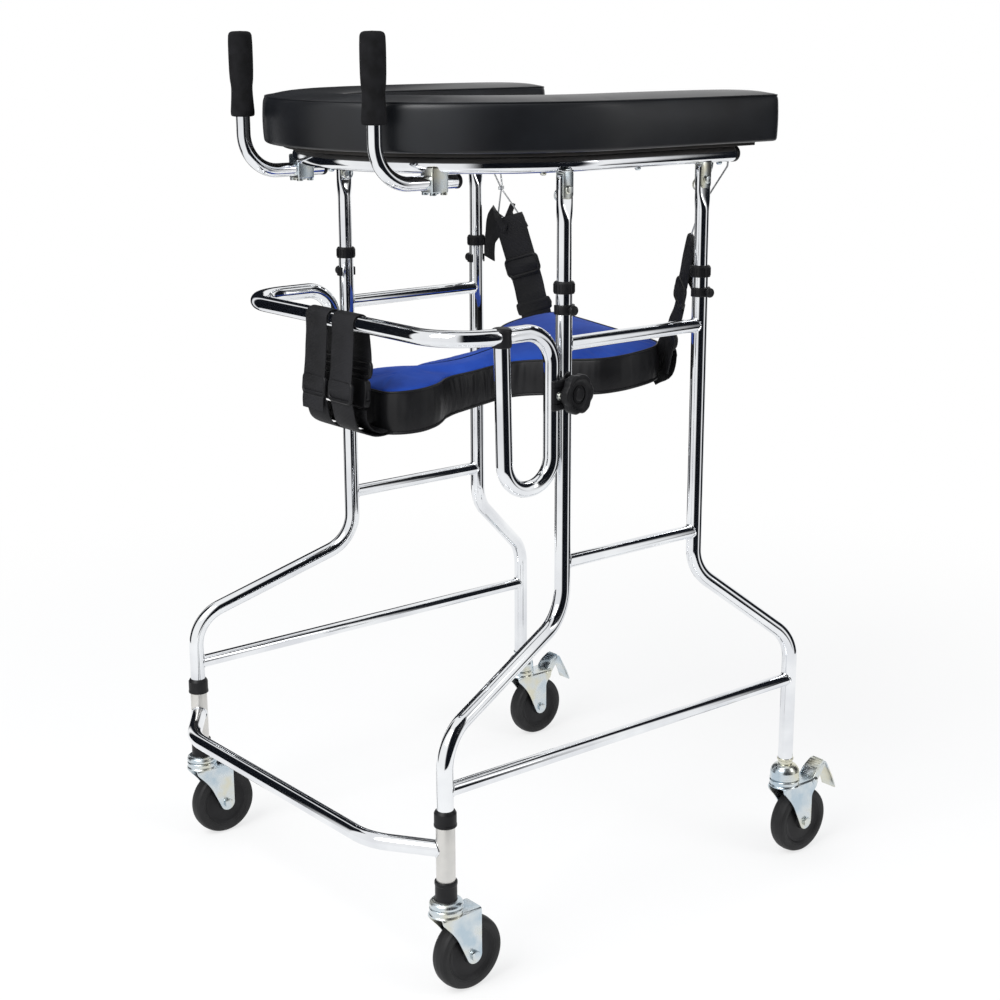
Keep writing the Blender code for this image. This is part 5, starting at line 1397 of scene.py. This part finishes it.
# %% Pad section and middle line
PAD_LOW, PAD_HIGH = 1.0686, 1.1336
PAD_HALF, PAD_ARC_R, PAD_REAR_Y = 0.0535, 0.2435, 0.2610
PAD_STRAIGHT = PAD_REAR_Y - ARC_Y
PAD_LENGTH = 2 * PAD_STRAIGHT + math.pi * PAD_ARC_R
FOOT_R, SHOULDER_R, END_R, END_TOP_R = 0.005, 0.0085, 0.014, 0.006
SIDE_BULGE, TOP_CROWN, SECTION_STEPS = 0.0012, 0.0028, 8


def pad_station(s):
    """The place and the outward direction of the middle line, s metres from its left end."""
    if s < PAD_STRAIGHT:
        return Vector((PAD_ARC_R, PAD_REAR_Y - s, 0)), Vector((1, 0, 0))
    if s > PAD_LENGTH - PAD_STRAIGHT:
        return Vector((-PAD_ARC_R, PAD_REAR_Y - (PAD_LENGTH - s), 0)), Vector((-1, 0, 0))
    a = -(s - PAD_STRAIGHT) / PAD_ARC_R
    out = Vector((math.cos(a), math.sin(a), 0))
    return Vector((0, ARC_Y, 0)) + out * PAD_ARC_R, out


def drawn_in(radius, gap):
    """How far a rounded end draws the pad in, at a gap from the end."""
    return radius - math.sqrt(radius ** 2 - max(radius - gap, 0) ** 2)


def pad_section(end_gap):
    """The pad's outline in (out, up), drawn in near an end; returns it with its two seam indices."""
    half = PAD_HALF - drawn_in(END_R, end_gap)
    top = PAD_HIGH - PAD_LOW - 0.0015 - drawn_in(END_TOP_R, end_gap)
    rise, flat = top - SHOULDER_R - FOOT_R, half - SHOULDER_R
    steps = [k / SECTION_STEPS for k in range(SECTION_STEPS + 1)]
    side = [(half - FOOT_R * 0.55, FOOT_R * 0.12), (half - FOOT_R * 0.1, FOOT_R * 0.6)]
    side += [(half + SIDE_BULGE * math.sin(math.pi * t), FOOT_R + rise * t) for t in steps]
    side += [(half - 0.0010, top - SHOULDER_R * 0.55)]
    seam = len(side)
    side += [(half - 0.0030, top - SHOULDER_R * 0.22), (half - SHOULDER_R * 0.62, top)]
    up = [(flat * (1 - t), top + TOP_CROWN * (1 - (1 - t) ** 2)) for t in steps]
    low = [(-flat + 2 * flat * k / 9, 0.0) for k in range(10)]
    right = side + up[:-1]
    left = [(-u, v) for u, v in (side + up)[::-1]]
    return low + right + left, len(low) + seam, len(low) + len(right) + len(left) - 1 - seam


# %% Forearm pad
END_STATIONS, MIDDLE_STEPS = [0, 0.0015, 0.0035, 0.0065, 0.010, 0.014, 0.020], 150
WELT_R, THREAD_DROP, THREAD_OUT = 0.0011, 0.0032, 0.0010
first_even, even_length = END_STATIONS[-1], PAD_LENGTH - 2 * END_STATIONS[-1]
stations = END_STATIONS + [first_even + even_length * k / MIDDLE_STEPS for k in range(1, MIDDLE_STEPS)]
stations += [PAD_LENGTH - s for s in END_STATIONS[::-1]]
rings, seam_out, seam_in, held = [], [], [], []
for s in stations:
    spot, out = pad_station(s)
    section, first, second = pad_section(min(s, PAD_LENGTH - s))
    ring = [spot + out * u + Vector((0, 0, PAD_LOW + v)) for u, v in section]
    base = len(rings) * len(section)
    held += [base + first, base + second] + [base + k for k, (u, v) in enumerate(section) if v < 0.002]
    seam_out.append(ring[first])
    seam_in.append(ring[second])
    rings.append(ring)
for end, slope in ((0, (0.36, 0.70)), (-1, (0.70, 0.36))):
    ring = rings[end]
    centre = sum(ring, Vector()) / len(ring)
    caps = [[centre.lerp(p, k) for p in ring] for k in slope]
    if end == 0:
        held = [k + len(caps) * len(ring) for k in held]
        rings = caps + rings
    else:
        rings = rings + caps
pad = loft("forearm_pad", rings, VINYL, 60)
reworked(pad.data, lambda work: bmesh.ops.poke(work, faces=[f for f in work.faces if len(f.verts) > 4]))
blow_up(pad, held, cap=0.004)
settle(pad, "forearm_rest", "padded_vinyl", "arm_pad")
seam_loop = [p + Vector((0, 0, 0.0002)) for p in seam_out + seam_in[::-1]]
settle(tubes("pad_welt", [(WELT_R, seam_loop)], VINYL, 8, 2, closed=True), "forearm_rest", "padded_vinyl")
pad_thread = []
for p in seam_out[3:-3]:
    below = p - Vector((0, 0, THREAD_DROP))
    outward_here = (below - Vector((0, max(below.y, ARC_Y), below.z))).normalized()
    pad_thread.append(below + outward_here * THREAD_OUT)
settle(stitches("pad_stitches", [pad_thread]), "forearm_rest", "padded_vinyl")
print("pad", len(pad.data.polygons), "faces")

# %% Board
BOARD_OUT, BOARD_IN, BOARD_REAR_Y, BOARD_Z, BOARD_T = 0.272, 0.215, 0.2360, 1.0658, 0.005
front_edge = arc((0, ARC_Y), BOARD_OUT, 0, -180, 48)
back_edge = arc((0, ARC_Y), BOARD_IN, -180, 0, 48)
board_outline = [(BOARD_OUT, BOARD_REAR_Y), *front_edge, (-BOARD_OUT, BOARD_REAR_Y),
                 (-BOARD_IN, BOARD_REAR_Y), *back_edge, (BOARD_IN, BOARD_REAR_Y)]
board = place(plate("plywood_board", board_outline, BOARD_T, BOARD, 0.0008), shift(0, 0, BOARD_Z))
settle(board, "forearm_rest", "plywood", "pad_board")
print("board", len(board.data.polygons), "faces")

# %% [markdown]
# ## Seat
# The saddle is narrow in front, waisted between the thighs and broad behind. Its skin is built from
# the outline: rings shrink to a spine for the top and the bottom, and a band with gathers joins
# them, deepest round the waist where the nylon is taken in. The seams are held when it is blown up.

# %% Seat outline
SEAT_FRONT_Y, SEAT_REAR_Y = -0.23155, 0.20545
SEAT_FRONT_Z, SEAT_REAR_Z, SEAT_THICK = 0.748, 0.788, 0.052
SEAT_LENGTH, SEAT_STEP = SEAT_REAR_Y - SEAT_FRONT_Y, 0.0042
SEAT_STATIONS = [(0.00, 0.049), (0.045, 0.067), (0.10, 0.0755), (0.155, 0.0715), (0.19, 0.0620),
                 (0.22, 0.0500), (0.27, 0.0405), (0.34, 0.0370), (0.41, 0.0380), (0.47, 0.0440),
                 (0.53, 0.0590), (0.60, 0.088), (0.67, 0.125), (0.74, 0.157), (0.82, 0.170), (0.90, 0.171),
                 (0.96, 0.167), (1.00, 0.150)]
TAIL_SHIFT, TAIL_TURN = 0.011, 0.25
WAIST_DIP, SKIRT, GATHER_LIFT = 0.003, 0.009, 0.0056
side_points = [(half, SEAT_FRONT_Y + t * SEAT_LENGTH) for t, half in SEAT_STATIONS]


def even_steps(points, step):
    """Points at even steps along a closed line."""
    loop = [Vector(p) for p in points]
    loop.append(loop[0])
    marks = [0.0]
    for a, b in zip(loop, loop[1:]):
        marks.append(marks[-1] + (b - a).length)
    count = round(marks[-1] / step)
    made, k = [], 0
    for i in range(count):
        target = marks[-1] * i / count
        while marks[k + 1] < target:
            k += 1
        made.append(loop[k].lerp(loop[k + 1], (target - marks[k]) / (marks[k + 1] - marks[k])))
    return made


def along_seat(y):
    """A place as a share of the seat's length."""
    return (y - SEAT_FRONT_Y) / SEAT_LENGTH


def hump(y, middle, width):
    """A soft hump of height 1 along the seat; its middle and its width are shares of the length."""
    return math.exp(-((along_seat(y) - middle) / width) ** 2)


def askew(p):
    """The saddle hangs a little turned: its waist and tail are off its middle, and the left lobe is ahead."""
    t = along_seat(p[1])
    return (p[0] + TAIL_SHIFT * eased((t - 0.12) / 0.26), p[1] - TAIL_TURN * eased((t - 0.25) / 0.35) * p[0])


round_trip = soften(side_points + [(-x, y) for x, y in side_points[::-1]], 0.05, True, 6)
seat_outline = even_steps(round_trip, SEAT_STEP)
print("seat outline of", len(seat_outline), "points")


def seat_top(y):
    """The height of the seat's top edge: it rises to the rear, with a slight dip at the waist."""
    return SEAT_FRONT_Z + (SEAT_REAR_Z - SEAT_FRONT_Z) * along_seat(y) - WAIST_DIP * hump(y, 0.36, 0.13)


def skirt(y):
    """How far the side band hangs below the seat's underside."""
    return SKIRT * hump(y, 0.08, 0.22)


def spine(p):
    """The point of the seat's middle line that an outline point shrinks towards."""
    return Vector((0, min(max(p.y, SEAT_FRONT_Y + 0.055), SEAT_REAR_Y - 0.11)))


# %% Gathers in the band
GATHER_STEP, GATHER_LEAN = 0.0125, 0.012
chance = random.Random(11)
gathers = []
place_on = 0.0
while place_on < len(seat_outline) * SEAT_STEP:
    gathers.append((place_on, chance.uniform(-0.5, 0.5), chance.uniform(0.4, 1.0),
                    chance.uniform(0.0022, 0.0040)))
    place_on += GATHER_STEP * chance.uniform(0.6, 1.5)


def gather_depth(along, v, y):
    """How far the band stands out at a place along it and a share v of its height."""
    strength = 0.18 + hump(y, 0.37, 0.13)
    lift = 0.0
    for start, lean, size, wide in gathers:
        gap = along - start - lean * GATHER_LEAN * (v - 0.5)
        if abs(gap) < 4 * wide:
            lift += size * math.exp(-(gap / wide) ** 2)
    return GATHER_LIFT * strength * lift * math.sin(math.pi * min(max(v, 0), 1)) ** 0.5


print(len(gathers), "gathers")

# %% Seat skin
TOP_SHARES = (0.0, 0.14, 0.28, 0.42, 0.56, 0.69, 0.80, 0.89, 0.95, 0.985)
BAND_STEPS, BAND_BULGE, BAND_DROP = 12, 0.0024, 0.0040
CROWN, CROWN_REACH, EDGE_DROP, UNDER_CROWN = 0.007, 0.09, 0.0022, 0.0015
SEAM_MERGE = 0.00005
count = len(seat_outline)
rings = []
for share in TOP_SHARES:
    ring = []
    for p in seat_outline:
        s = spine(p)
        q = s.lerp(p, share)
        crown = CROWN * (1 - share ** 2) * min((p - s).length / CROWN_REACH, 1)
        edge = -EDGE_DROP * max(0, (share - 0.93) / 0.055) ** 2
        ring.append(Vector((q.x, q.y, seat_top(q.y) + crown + edge)))
    rings.append(ring)
top_seam = len(rings)
for k in range(BAND_STEPS + 1):
    v = k / BAND_STEPS
    ring = []
    for i, p in enumerate(seat_outline):
        ahead = (seat_outline[(i + 1) % count] - seat_outline[i - 1]).normalized()
        out = Vector((ahead.y, -ahead.x))
        high = seat_top(p.y) - BAND_DROP
        low = seat_top(p.y) - SEAT_THICK - skirt(p.y)
        q = p + out * (BAND_BULGE * math.sin(math.pi * v) + gather_depth(i * SEAT_STEP, v, p.y))
        ring.append(Vector((q.x, q.y, high + (low - high) * v)))
    rings.append(ring)
bottom_seam = len(rings) - 1
for share in TOP_SHARES[::-1]:
    ring = []
    for p in seat_outline:
        q = spine(p).lerp(p, share)
        z = seat_top(q.y) - SEAT_THICK - UNDER_CROWN * (1 - share ** 2) - skirt(q.y) * share ** 6
        ring.append(Vector((q.x, q.y, z)))
    rings.append(ring)

rings = [[Vector((*askew(p), p.z)) for p in ring] for ring in rings]
work = bmesh.new()
grid = [[work.verts.new(p) for p in ring] for ring in rings]
for r in range(len(rings) - 1):
    for i in range(count):
        k = (i + 1) % count
        face = work.faces.new((grid[r][i], grid[r][k], grid[r + 1][k], grid[r + 1][i]))
        face.material_index = 0 if r < top_seam else 1
seam_marks = [tuple(p) for r in (top_seam, bottom_seam) for p in rings[r]]
merge_slivers(work, SEAM_MERGE)
bmesh.ops.recalc_face_normals(work, faces=work.faces)
seat = new_object("seat_cushion_skin", mesh_from(work, "seat_cushion_skin"), BLUE, NYLON)
on_seam = {tuple(round(c, 5) for c in p) for p in seam_marks}
held = [v.index for v in seat.data.vertices if tuple(round(c, 5) for c in v.co) in on_seam]
print("seat skin", len(seat.data.polygons), "faces,", len(held), "held points")
blow_up(seat, held, cap=0.006)
settle(seat, "guard", "seat_cloth", "seat_cushion")

# %% Seat piping and stitches
UNDER_STITCH_SHARE = 0.965
top_run = [p + Vector((0, 0, 0.0004)) for p in rings[top_seam]]
low_run = [p + Vector((0, 0, 0.0006)) for p in rings[bottom_seam]]
for name, run, radius in (("seat_top_piping", top_run, 0.0015), ("seat_bottom_piping", low_run, 0.0021)):
    settle(tubes(name, [(radius, run)], NYLON, 10, 2, closed=True), "guard", "seat_cloth")
under = []
for p in seat_outline:
    q = spine(p).lerp(p, UNDER_STITCH_SHARE)
    under.append(Vector((*askew(q), seat_top(q.y) - SEAT_THICK - skirt(q.y) * 0.8 - 0.0008)))
settle(stitches("seat_stitches", [under], closed=True), "guard", "seat_cloth")
print("2 runs of piping, and stitches under the seat")

# %% [markdown]
# ## Straps
# Two webbing straps carry the saddle's nose from the guard bar, and one on each side hangs its tail
# from the top frame. A strap is a thin section swept along a smooth line, and its map is measured as
# it is swept. Sliders are bent tubes, and the buckles are cut and rounded plates. A rear strap crosses
# two joints, the height of the top frame and that of the guard. So it is made as two plies that meet
# behind its slider, where neither moves.

# %% Strap helpers
STRAP_WIDE, STRAP_THICK, STRAP_STEP = 0.050, 0.0020, 0.003
SLIDER_BEND = 0.007


def curve_through(points, step=STRAP_STEP):
    """Even steps along a smooth line that passes through points."""
    marks = [Vector(p) for p in points]
    marks = [2 * marks[0] - marks[1], *marks, 2 * marks[-1] - marks[-2]]
    dense = []
    for a, b, c, d in zip(marks, marks[1:], marks[2:], marks[3:]):
        for k in range(12):
            t = k / 12
            dense.append(0.5 * (2 * b + (c - a) * t + (2 * a - 5 * b + 4 * c - d) * t ** 2
                                + (3 * b - a - 3 * c + d) * t ** 3))
    dense.append(marks[-2])
    made, carried = [dense[0]], 0.0
    for a, b in zip(dense, dense[1:]):
        carried += (b - a).length
        if carried >= step:
            made.append(b)
            carried = 0.0
    if carried > step / 3:
        made.append(dense[-1])
    return made


def ribbon(name, line, broad, wide=STRAP_WIDE, taper=None):
    """A strap carried along a line, its broad way along one direction or one for each point."""
    half, h = wide / 2, STRAP_THICK / 2
    section = [(-half, -0.4 * h), (-half + h, -h), (0, -1.05 * h), (half - h, -h), (half, -0.4 * h),
               (half, 0.4 * h), (half - h, h), (0, 1.05 * h), (-half + h, h), (-half, 0.4 * h)]
    rings, run = [], [0.0]
    for i, here in enumerate(line):
        before, after = line[max(i - 1, 0)], line[min(i + 1, len(line) - 1)]
        ahead = (after - before).normalized()
        side = Vector(broad[i] if isinstance(broad, list) else broad)
        side = (side - ahead * side.dot(ahead)).normalized()
        normal = ahead.cross(side)
        if i:
            run.append(run[-1] + (here - before).length)
        share = taper(run[-1]) if taper else 1.0
        rings.append([here + side * (u * share) + normal * v for u, v in section])
    piece = loft(name, rings, WEBBING, 50)
    metres = piece.data.uv_layers.new(name="metres")
    for loop in piece.data.loops:
        ring, corner = divmod(loop.vertex_index, len(section))
        metres.data[loop.index].uv = (section[corner][0], run[ring])
    return piece


def slider(name, wide, high, bar):
    """A three-bar slider lying in X and Y: a rounded frame with a bar across its middle."""
    w, h = wide / 2 - bar, high / 2 - bar
    run = [(x, y, 0, SLIDER_BEND) for x, y in rectangle(w, h)]
    frame = tubes(name, [(bar, run)], PLASTIC, 16, 6, closed=True)
    middle_bar = tubes(name + "_bar", [(bar * 0.9, [(-w, 0, 0), (w, 0, 0)])], PLASTIC, 16, 2)
    return gather(name, frame, middle_bar)


def turning(start, stop, line, pace):
    """Broad directions for a line that turn from one to another in its first part."""
    shares = [min(1.0, pace * i / (len(line) - 1)) for i in range(len(line))]
    return [tuple(Vector(start).lerp(Vector(stop), share)) for share in shares]


# %% Front straps
STRAP_X, STRAP_REACH, GLIDE_SPOT = 0.03125, 0.0124, (0, -0.2926, 0.7518)


def hung(name, points):
    """A strap along (y, z) points, with its broad way along X."""
    return ribbon(name, curve_through([(0, *p) for p in points]), (1, 0, 0))


outer_ply = [(-0.168, 0.6952), (-0.205, 0.6932), (-0.243, 0.6885), (-0.264, 0.6925), (-0.283, 0.7050),
             (-0.2895, 0.7280), (-0.2925, 0.7430), (-0.2947, 0.7518), (-0.2930, 0.7620), (-0.2900, 0.7850),
             (-0.2885, 0.8050), (-0.2868, 0.8250)]
over_bar = arc((GUARD_FRONT_Y, GUARD_Z), STRAP_REACH, 190, 1, 9)
inner_ply = [(-0.2612, 0.8300), (-0.2592, 0.8080), (-0.2586, 0.7930), (-0.2592, 0.7760), (-0.2600, 0.7690)]
front_strap = hung("front_strap", outer_ply + over_bar + inner_ply)
lower_tab = hung("lower_tab", [(-0.2690, 0.7260), (-0.2680, 0.7120), (-0.2590, 0.6990), (-0.2440, 0.6925),
                               (-0.2330, 0.6940)])
tail = hung("tail", [(-0.2935, 0.7430), (-0.2955, 0.7350), (-0.2960, 0.7265), (-0.2955, 0.7180)])
glide = slider("glide", 0.056, 0.032, 0.0027)
glide_lean = math.atan2(0.0030, 0.030)
place(glide, shift(*GLIDE_SPOT) @ Matrix.Rotation(math.pi / 2 - glide_lean, 4, "X"))

# %% Side release buckle
BUCKLE_LEAN, BUCKLE_SPOT, SHELL_HALF = math.atan2(0.0095, 0.070), (0, -0.2617, 0.7640), 0.0235
shell_outline = soften([(-SHELL_HALF, -0.019), (SHELL_HALF, -0.019), (SHELL_HALF, 0.006), (0.0200, 0.019),
                        (-0.0200, 0.019), (-SHELL_HALF, 0.006)], 0.006, True, 4)
shell = plate("shell", shell_outline, 0.0100, PLASTIC, 0.0022, 4)
for side in (-1, 1):
    window = brick("window", (0.009, 0.015, 0.0062), PLASTIC, 0.001)
    carve(shell, place(window, shift(side * SHELL_HALF, -0.002, 0)))
mouth = place(brick("mouth", (0.036, 0.010, 0.0042), PLASTIC, 0.0005), shift(0, -0.020, 0))
smooth(carve(shell, mouth))
buckle_parts = [place(shell, shift(0, -0.017, 0))]
prong_outline = soften([(0.0130, 0.004), (0.0165, 0.004), (0.0215, -0.010), (0.0240, -0.016),
                        (0.0240, -0.024), (0.0205, -0.028), (0.0190, -0.020), (0.0165, -0.012)],
                       0.003, True, 3)
for side in (-1, 1):
    buckle_parts.append(place(plate("prong", prong_outline, 0.0048, PLASTIC, 0.0010), to_side(side)))
buckle_parts.append(place(slider("ladder", 0.054, 0.026, 0.0028), shift(0, 0.0155, 0)))
buckle_parts.append(place(brick("latch_base", (0.034, 0.006, 0.0062), PLASTIC, 0.0012), shift(0, 0.0050, 0)))
buckle = gather("buckle", *buckle_parts)
place(buckle, shift(*BUCKLE_SPOT) @ Matrix.Rotation(math.pi / 2 - BUCKLE_LEAN, 4, "X"))
fittings = gather("fittings", glide, buckle)
for label, side in SIDES.items():
    there = shift(side * STRAP_X, 0, 0)
    copy_to(front_strap, label + "_front_webbing", there, "guard", "webbing", label + "_front_strap")
    copy_to(lower_tab, label + "_nose_webbing", there, "guard", "webbing")
    copy_to(fittings, label + "_front_fittings", there, "guard", "black_plastic")
copy_to(tail, "right_front_tail", shift(-STRAP_X, 0, 0), "guard", "webbing")
discard(front_strap, lower_tab, fittings, tail)
print("2 front straps with their tri-glides and buckles")

# %% Rear strap line and hanger wire
JOINT, FOOT = Vector((0.222, 0.1914, 0.977)), Vector((0.174, 0.2204, 0.7915))
down = FOOT - JOINT
line_down = down.normalized()
broad = Vector((down.x, down.y, 0)).normalized()
across = (broad - line_down * broad.dot(line_down)).normalized()
facing = across.cross(line_down)
if facing.y > 0:
    facing = -facing
strap_turn = Matrix((across, -line_down, across.cross(-line_down))).transposed().to_4x4()


def at_height(z, lift=0.0):
    """A point of the strap's middle line at a height, lifted towards the frame's front."""
    return JOINT + down * ((z - JOINT.z) / down.z) + facing * lift


WIRE_R, BASE_Z, BASE_HALF_WIDE = 0.0013, 0.9305, 0.020
HOOK_Z, KNEE_Z, HOOK_APART = FRAME_Z - TUBE_R + 0.0035, FRAME_Z - TUBE_R - 0.006, 0.015
KNOT_STEPS, STEPS_PER_TURN = 36, 12
wire_runs = []
for dy in (-HOOK_APART, HOOK_APART):
    hook = (UPRIGHT_HALF, JOINT.y + dy, HOOK_Z)
    knee = (UPRIGHT_HALF, JOINT.y + dy, KNEE_Z, 0.008)
    wire_runs.append((WIRE_R, [hook, knee, tuple(JOINT + Vector((0, dy * 0.12, 0.002)))]))
base = at_height(BASE_Z)
wires = tubes("wires", wire_runs, WIRE, 12, 6)
triangle_run = [(*(JOINT - Vector((0, 0, 0.001))), 0.002), (*(base + broad * BASE_HALF_WIDE), 0.004),
                (*(base - broad * BASE_HALF_WIDE), 0.004)]
triangle = tubes("triangle", [(WIRE_R, triangle_run)], WIRE, 12, 5, closed=True)
coil = []
for i in range(KNOT_STEPS + 1):
    a = 2 * math.pi * i / STEPS_PER_TURN
    turn_of_wire = Vector((0.0024 * math.cos(a), 0.0042 * math.sin(a), 0.0022 - 0.0048 * i / KNOT_STEPS))
    coil.append(tuple(JOINT + turn_of_wire))
knot = tubes("knot", [(WIRE_R * 0.85, coil)], WIRE, 10, 2)
hanger = gather("hanger", wires, triangle, knot)

# %% Rear straps
FOLD_R, FOLD_TOP_Z = 0.0030, 0.9225
SLIDE_Z, FOOT_BUCKLE_Z = 0.857, 0.7935
UPPER_END_Z, LOWER_TOP_Z, LOWER_END_Z = 0.8405, 0.850, 0.800
# The lower ply rises from the seat through the foot buckle and ends behind the slider
lower_points = [at_height(0.748, 0.0028), at_height(0.775, 0.0028), at_height(FOOT_BUCKLE_Z, 0.0034),
                at_height(0.810, 0.0030), at_height(0.826, -0.0003), at_height(LOWER_TOP_Z, -0.0006)]
rear_lower = ribbon("rear_lower", curve_through(lower_points), tuple(across))
# The upper ply starts at the slider, folds over the wire's base and comes down behind itself
points = [at_height(UPPER_END_Z, 0.0020), at_height(0.8480, 0.0030), at_height(SLIDE_Z, 0.0058),
          at_height(0.8660, 0.0030), at_height(0.8750, 0.0020), at_height(0.900, FOLD_R),
          at_height(FOLD_TOP_Z, FOLD_R)]
points += [base + facing * u - line_down * v for u, v in arc((0, 0), FOLD_R, 20, 160, 4)]
points += [at_height(FOLD_TOP_Z, -FOLD_R), at_height(0.9105, -FOLD_R)]
rear_line = curve_through(points)
total = sum((b - a).length for a, b in zip(rear_line, rear_line[1:]))


def near_fold(run):
    """The strap is drawn in where the wire gathers it."""
    gap = abs(run - (total - 0.018))
    return 1 - 0.22 * max(0, 1 - gap / 0.022) ** 2


rear_webbing = ribbon("rear_webbing", rear_line, tuple(across), taper=near_fold)
BOX_HALF, BOX_TOP_Z, BOX_HIGH, DRAWN_IN = 0.019, 0.9210, 0.012, 0.86
box = []
for u, v in ((-1, 0), (1, 0), (1, 1), (-1, 1), (-1, 0), (1, 1)):
    wide = BOX_HALF * (DRAWN_IN if v == 0 else 1)
    box.append(at_height(BOX_TOP_Z - BOX_HIGH * v, FOLD_R + 0.0011) + across * (u * wide))
box_stitch = stitches("box_stitch", [box])

# %% Loose ends, buckles and tabs of the rear straps
tail_points = [base - facing * FOLD_R]
tail_points += [base + Vector(p) for p in (
    (0.013, -0.0010, -0.0010), (0.030, -0.0040, -0.010), (0.042, -0.0045, -0.030),
    (0.047, -0.0035, -0.052), (0.048, -0.0025, -0.068))]
tail_line = curve_through(tail_points)
rear_tail = ribbon("rear_tail", tail_line, turning(across, (-0.93, -0.35, 0.0), tail_line, 1.6))
flat_points = [at_height(FOLD_TOP_Z, -0.0052), at_height(0.900, -0.0056), at_height(0.872, -0.0060)]
flat_tail = ribbon("flat_tail", curve_through(flat_points), tuple(across))
rear_glide = slider("rear_glide", 0.058, 0.033, 0.0027)
place(rear_glide, shift(*at_height(SLIDE_Z, 0.0030)) @ strap_turn)
foot_frame = slider("foot_frame", 0.060, 0.020, 0.0030)
foot_outline = soften(rectangle(0.029, 0.010), 0.005, True, 4)
foot_plate = plate("foot_plate", foot_outline, 0.0042, PLASTIC, 0.0012, 3)
smooth(carve(foot_plate, brick("slot_cut", (0.050, 0.0085, 0.010), PLASTIC, 0.001)))
foot_buckle = gather("foot_buckle", place(foot_plate, shift(0, 0, -0.0012)), foot_frame)
place(foot_buckle, shift(*at_height(FOOT_BUCKLE_Z, 0.0012)) @ strap_turn)
tab_points = [at_height(0.7880, -0.0015), at_height(0.7780, -0.0040), Vector((0.1640, 0.2080, 0.7560)),
              Vector((0.1480, 0.1950, 0.7385))]
seat_tab = ribbon("seat_tab", curve_through(tab_points), tuple(across), wide=0.044)
# On the left the tab turns flat against the seat's corner
near_line = curve_through([(0.1690, 0.1840, 0.7960), (0.1620, 0.1880, 0.7840), (0.1565, 0.1895, 0.7680),
                           (0.1555, 0.1885, 0.7520), (0.1530, 0.1840, 0.7380), (0.1440, 0.1720, 0.7290)])
near_tab = ribbon("near_tab", near_line, turning(across, (-1, 0.10, 0), near_line, 3.0), wide=0.046)

# %% Placing the rear straps
# The left strap hangs straighter than the right one: the same pieces, sheared forward towards their foot
STRAIGHTER = Matrix(((1, 0, 0, 0), (0, 1, 0.16, -0.164), (0, 0, 1, 0), (0, 0, 0, 1)))
# The slider is stiff: a line this long runs through it, and the share says where along that line it sits.
FAR_DOWN, SLIDER_SHARE = Vector((0, 0, -20.0)), 0.587


def stretched(shape, name, turn, slot, bodies, start, stop, *nodes):
    """A copy of a shape, turned, with its place baked into its mesh; it stands for the CAD nodes named. The
    bodies, start and stop are not used.
    """
    made = twin(shape, name, turn)
    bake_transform(made)
    if nodes:
        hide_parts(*nodes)


for label, side in SIDES.items():
    turn = STRAIGHTER if side > 0 else to_side(side)
    copy_to(hanger, label + "_hanger_wire", turn, "forearm_rest", "zinc_plate", label + "_rear_hanger")
    copy_to(flat_tail if side > 0 else rear_tail, label + "_rear_tail", turn, "forearm_rest", "webbing")
    copy_to(foot_buckle, label + "_foot_buckle", turn, "guard", "black_plastic")
    if side > 0:
        copy_to(near_tab, "left_seat_tab", UNMOVED, "guard", "webbing")
    else:
        copy_to(seat_tab, "right_seat_tab", turn, "guard", "webbing")
    copy_to(box_stitch, label + "_box_stitch", turn, "forearm_rest", "webbing")
    stretched(rear_webbing, label + "_rear_webbing", turn, "webbing", ("forearm_rest", "base"),
              turn @ at_height(BASE_Z), turn @ at_height(UPPER_END_Z), label + "_rear_strap")
    stretched(rear_lower, label + "_rear_lower_webbing", turn, "webbing", ("base", "guard"),
              turn @ at_height(LOWER_TOP_Z), turn @ at_height(LOWER_END_Z))
    middle = turn @ at_height(SLIDE_Z)
    stretched(rear_glide, label + "_rear_slider", turn, "black_plastic", ("forearm_rest", "base"),
              middle - FAR_DOWN * SLIDER_SHARE, middle + FAR_DOWN * (1 - SLIDER_SHARE))
discard(hanger, rear_tail, flat_tail, foot_buckle, seat_tab, near_tab, box_stitch, rear_webbing, rear_lower,
        rear_glide, stitch)
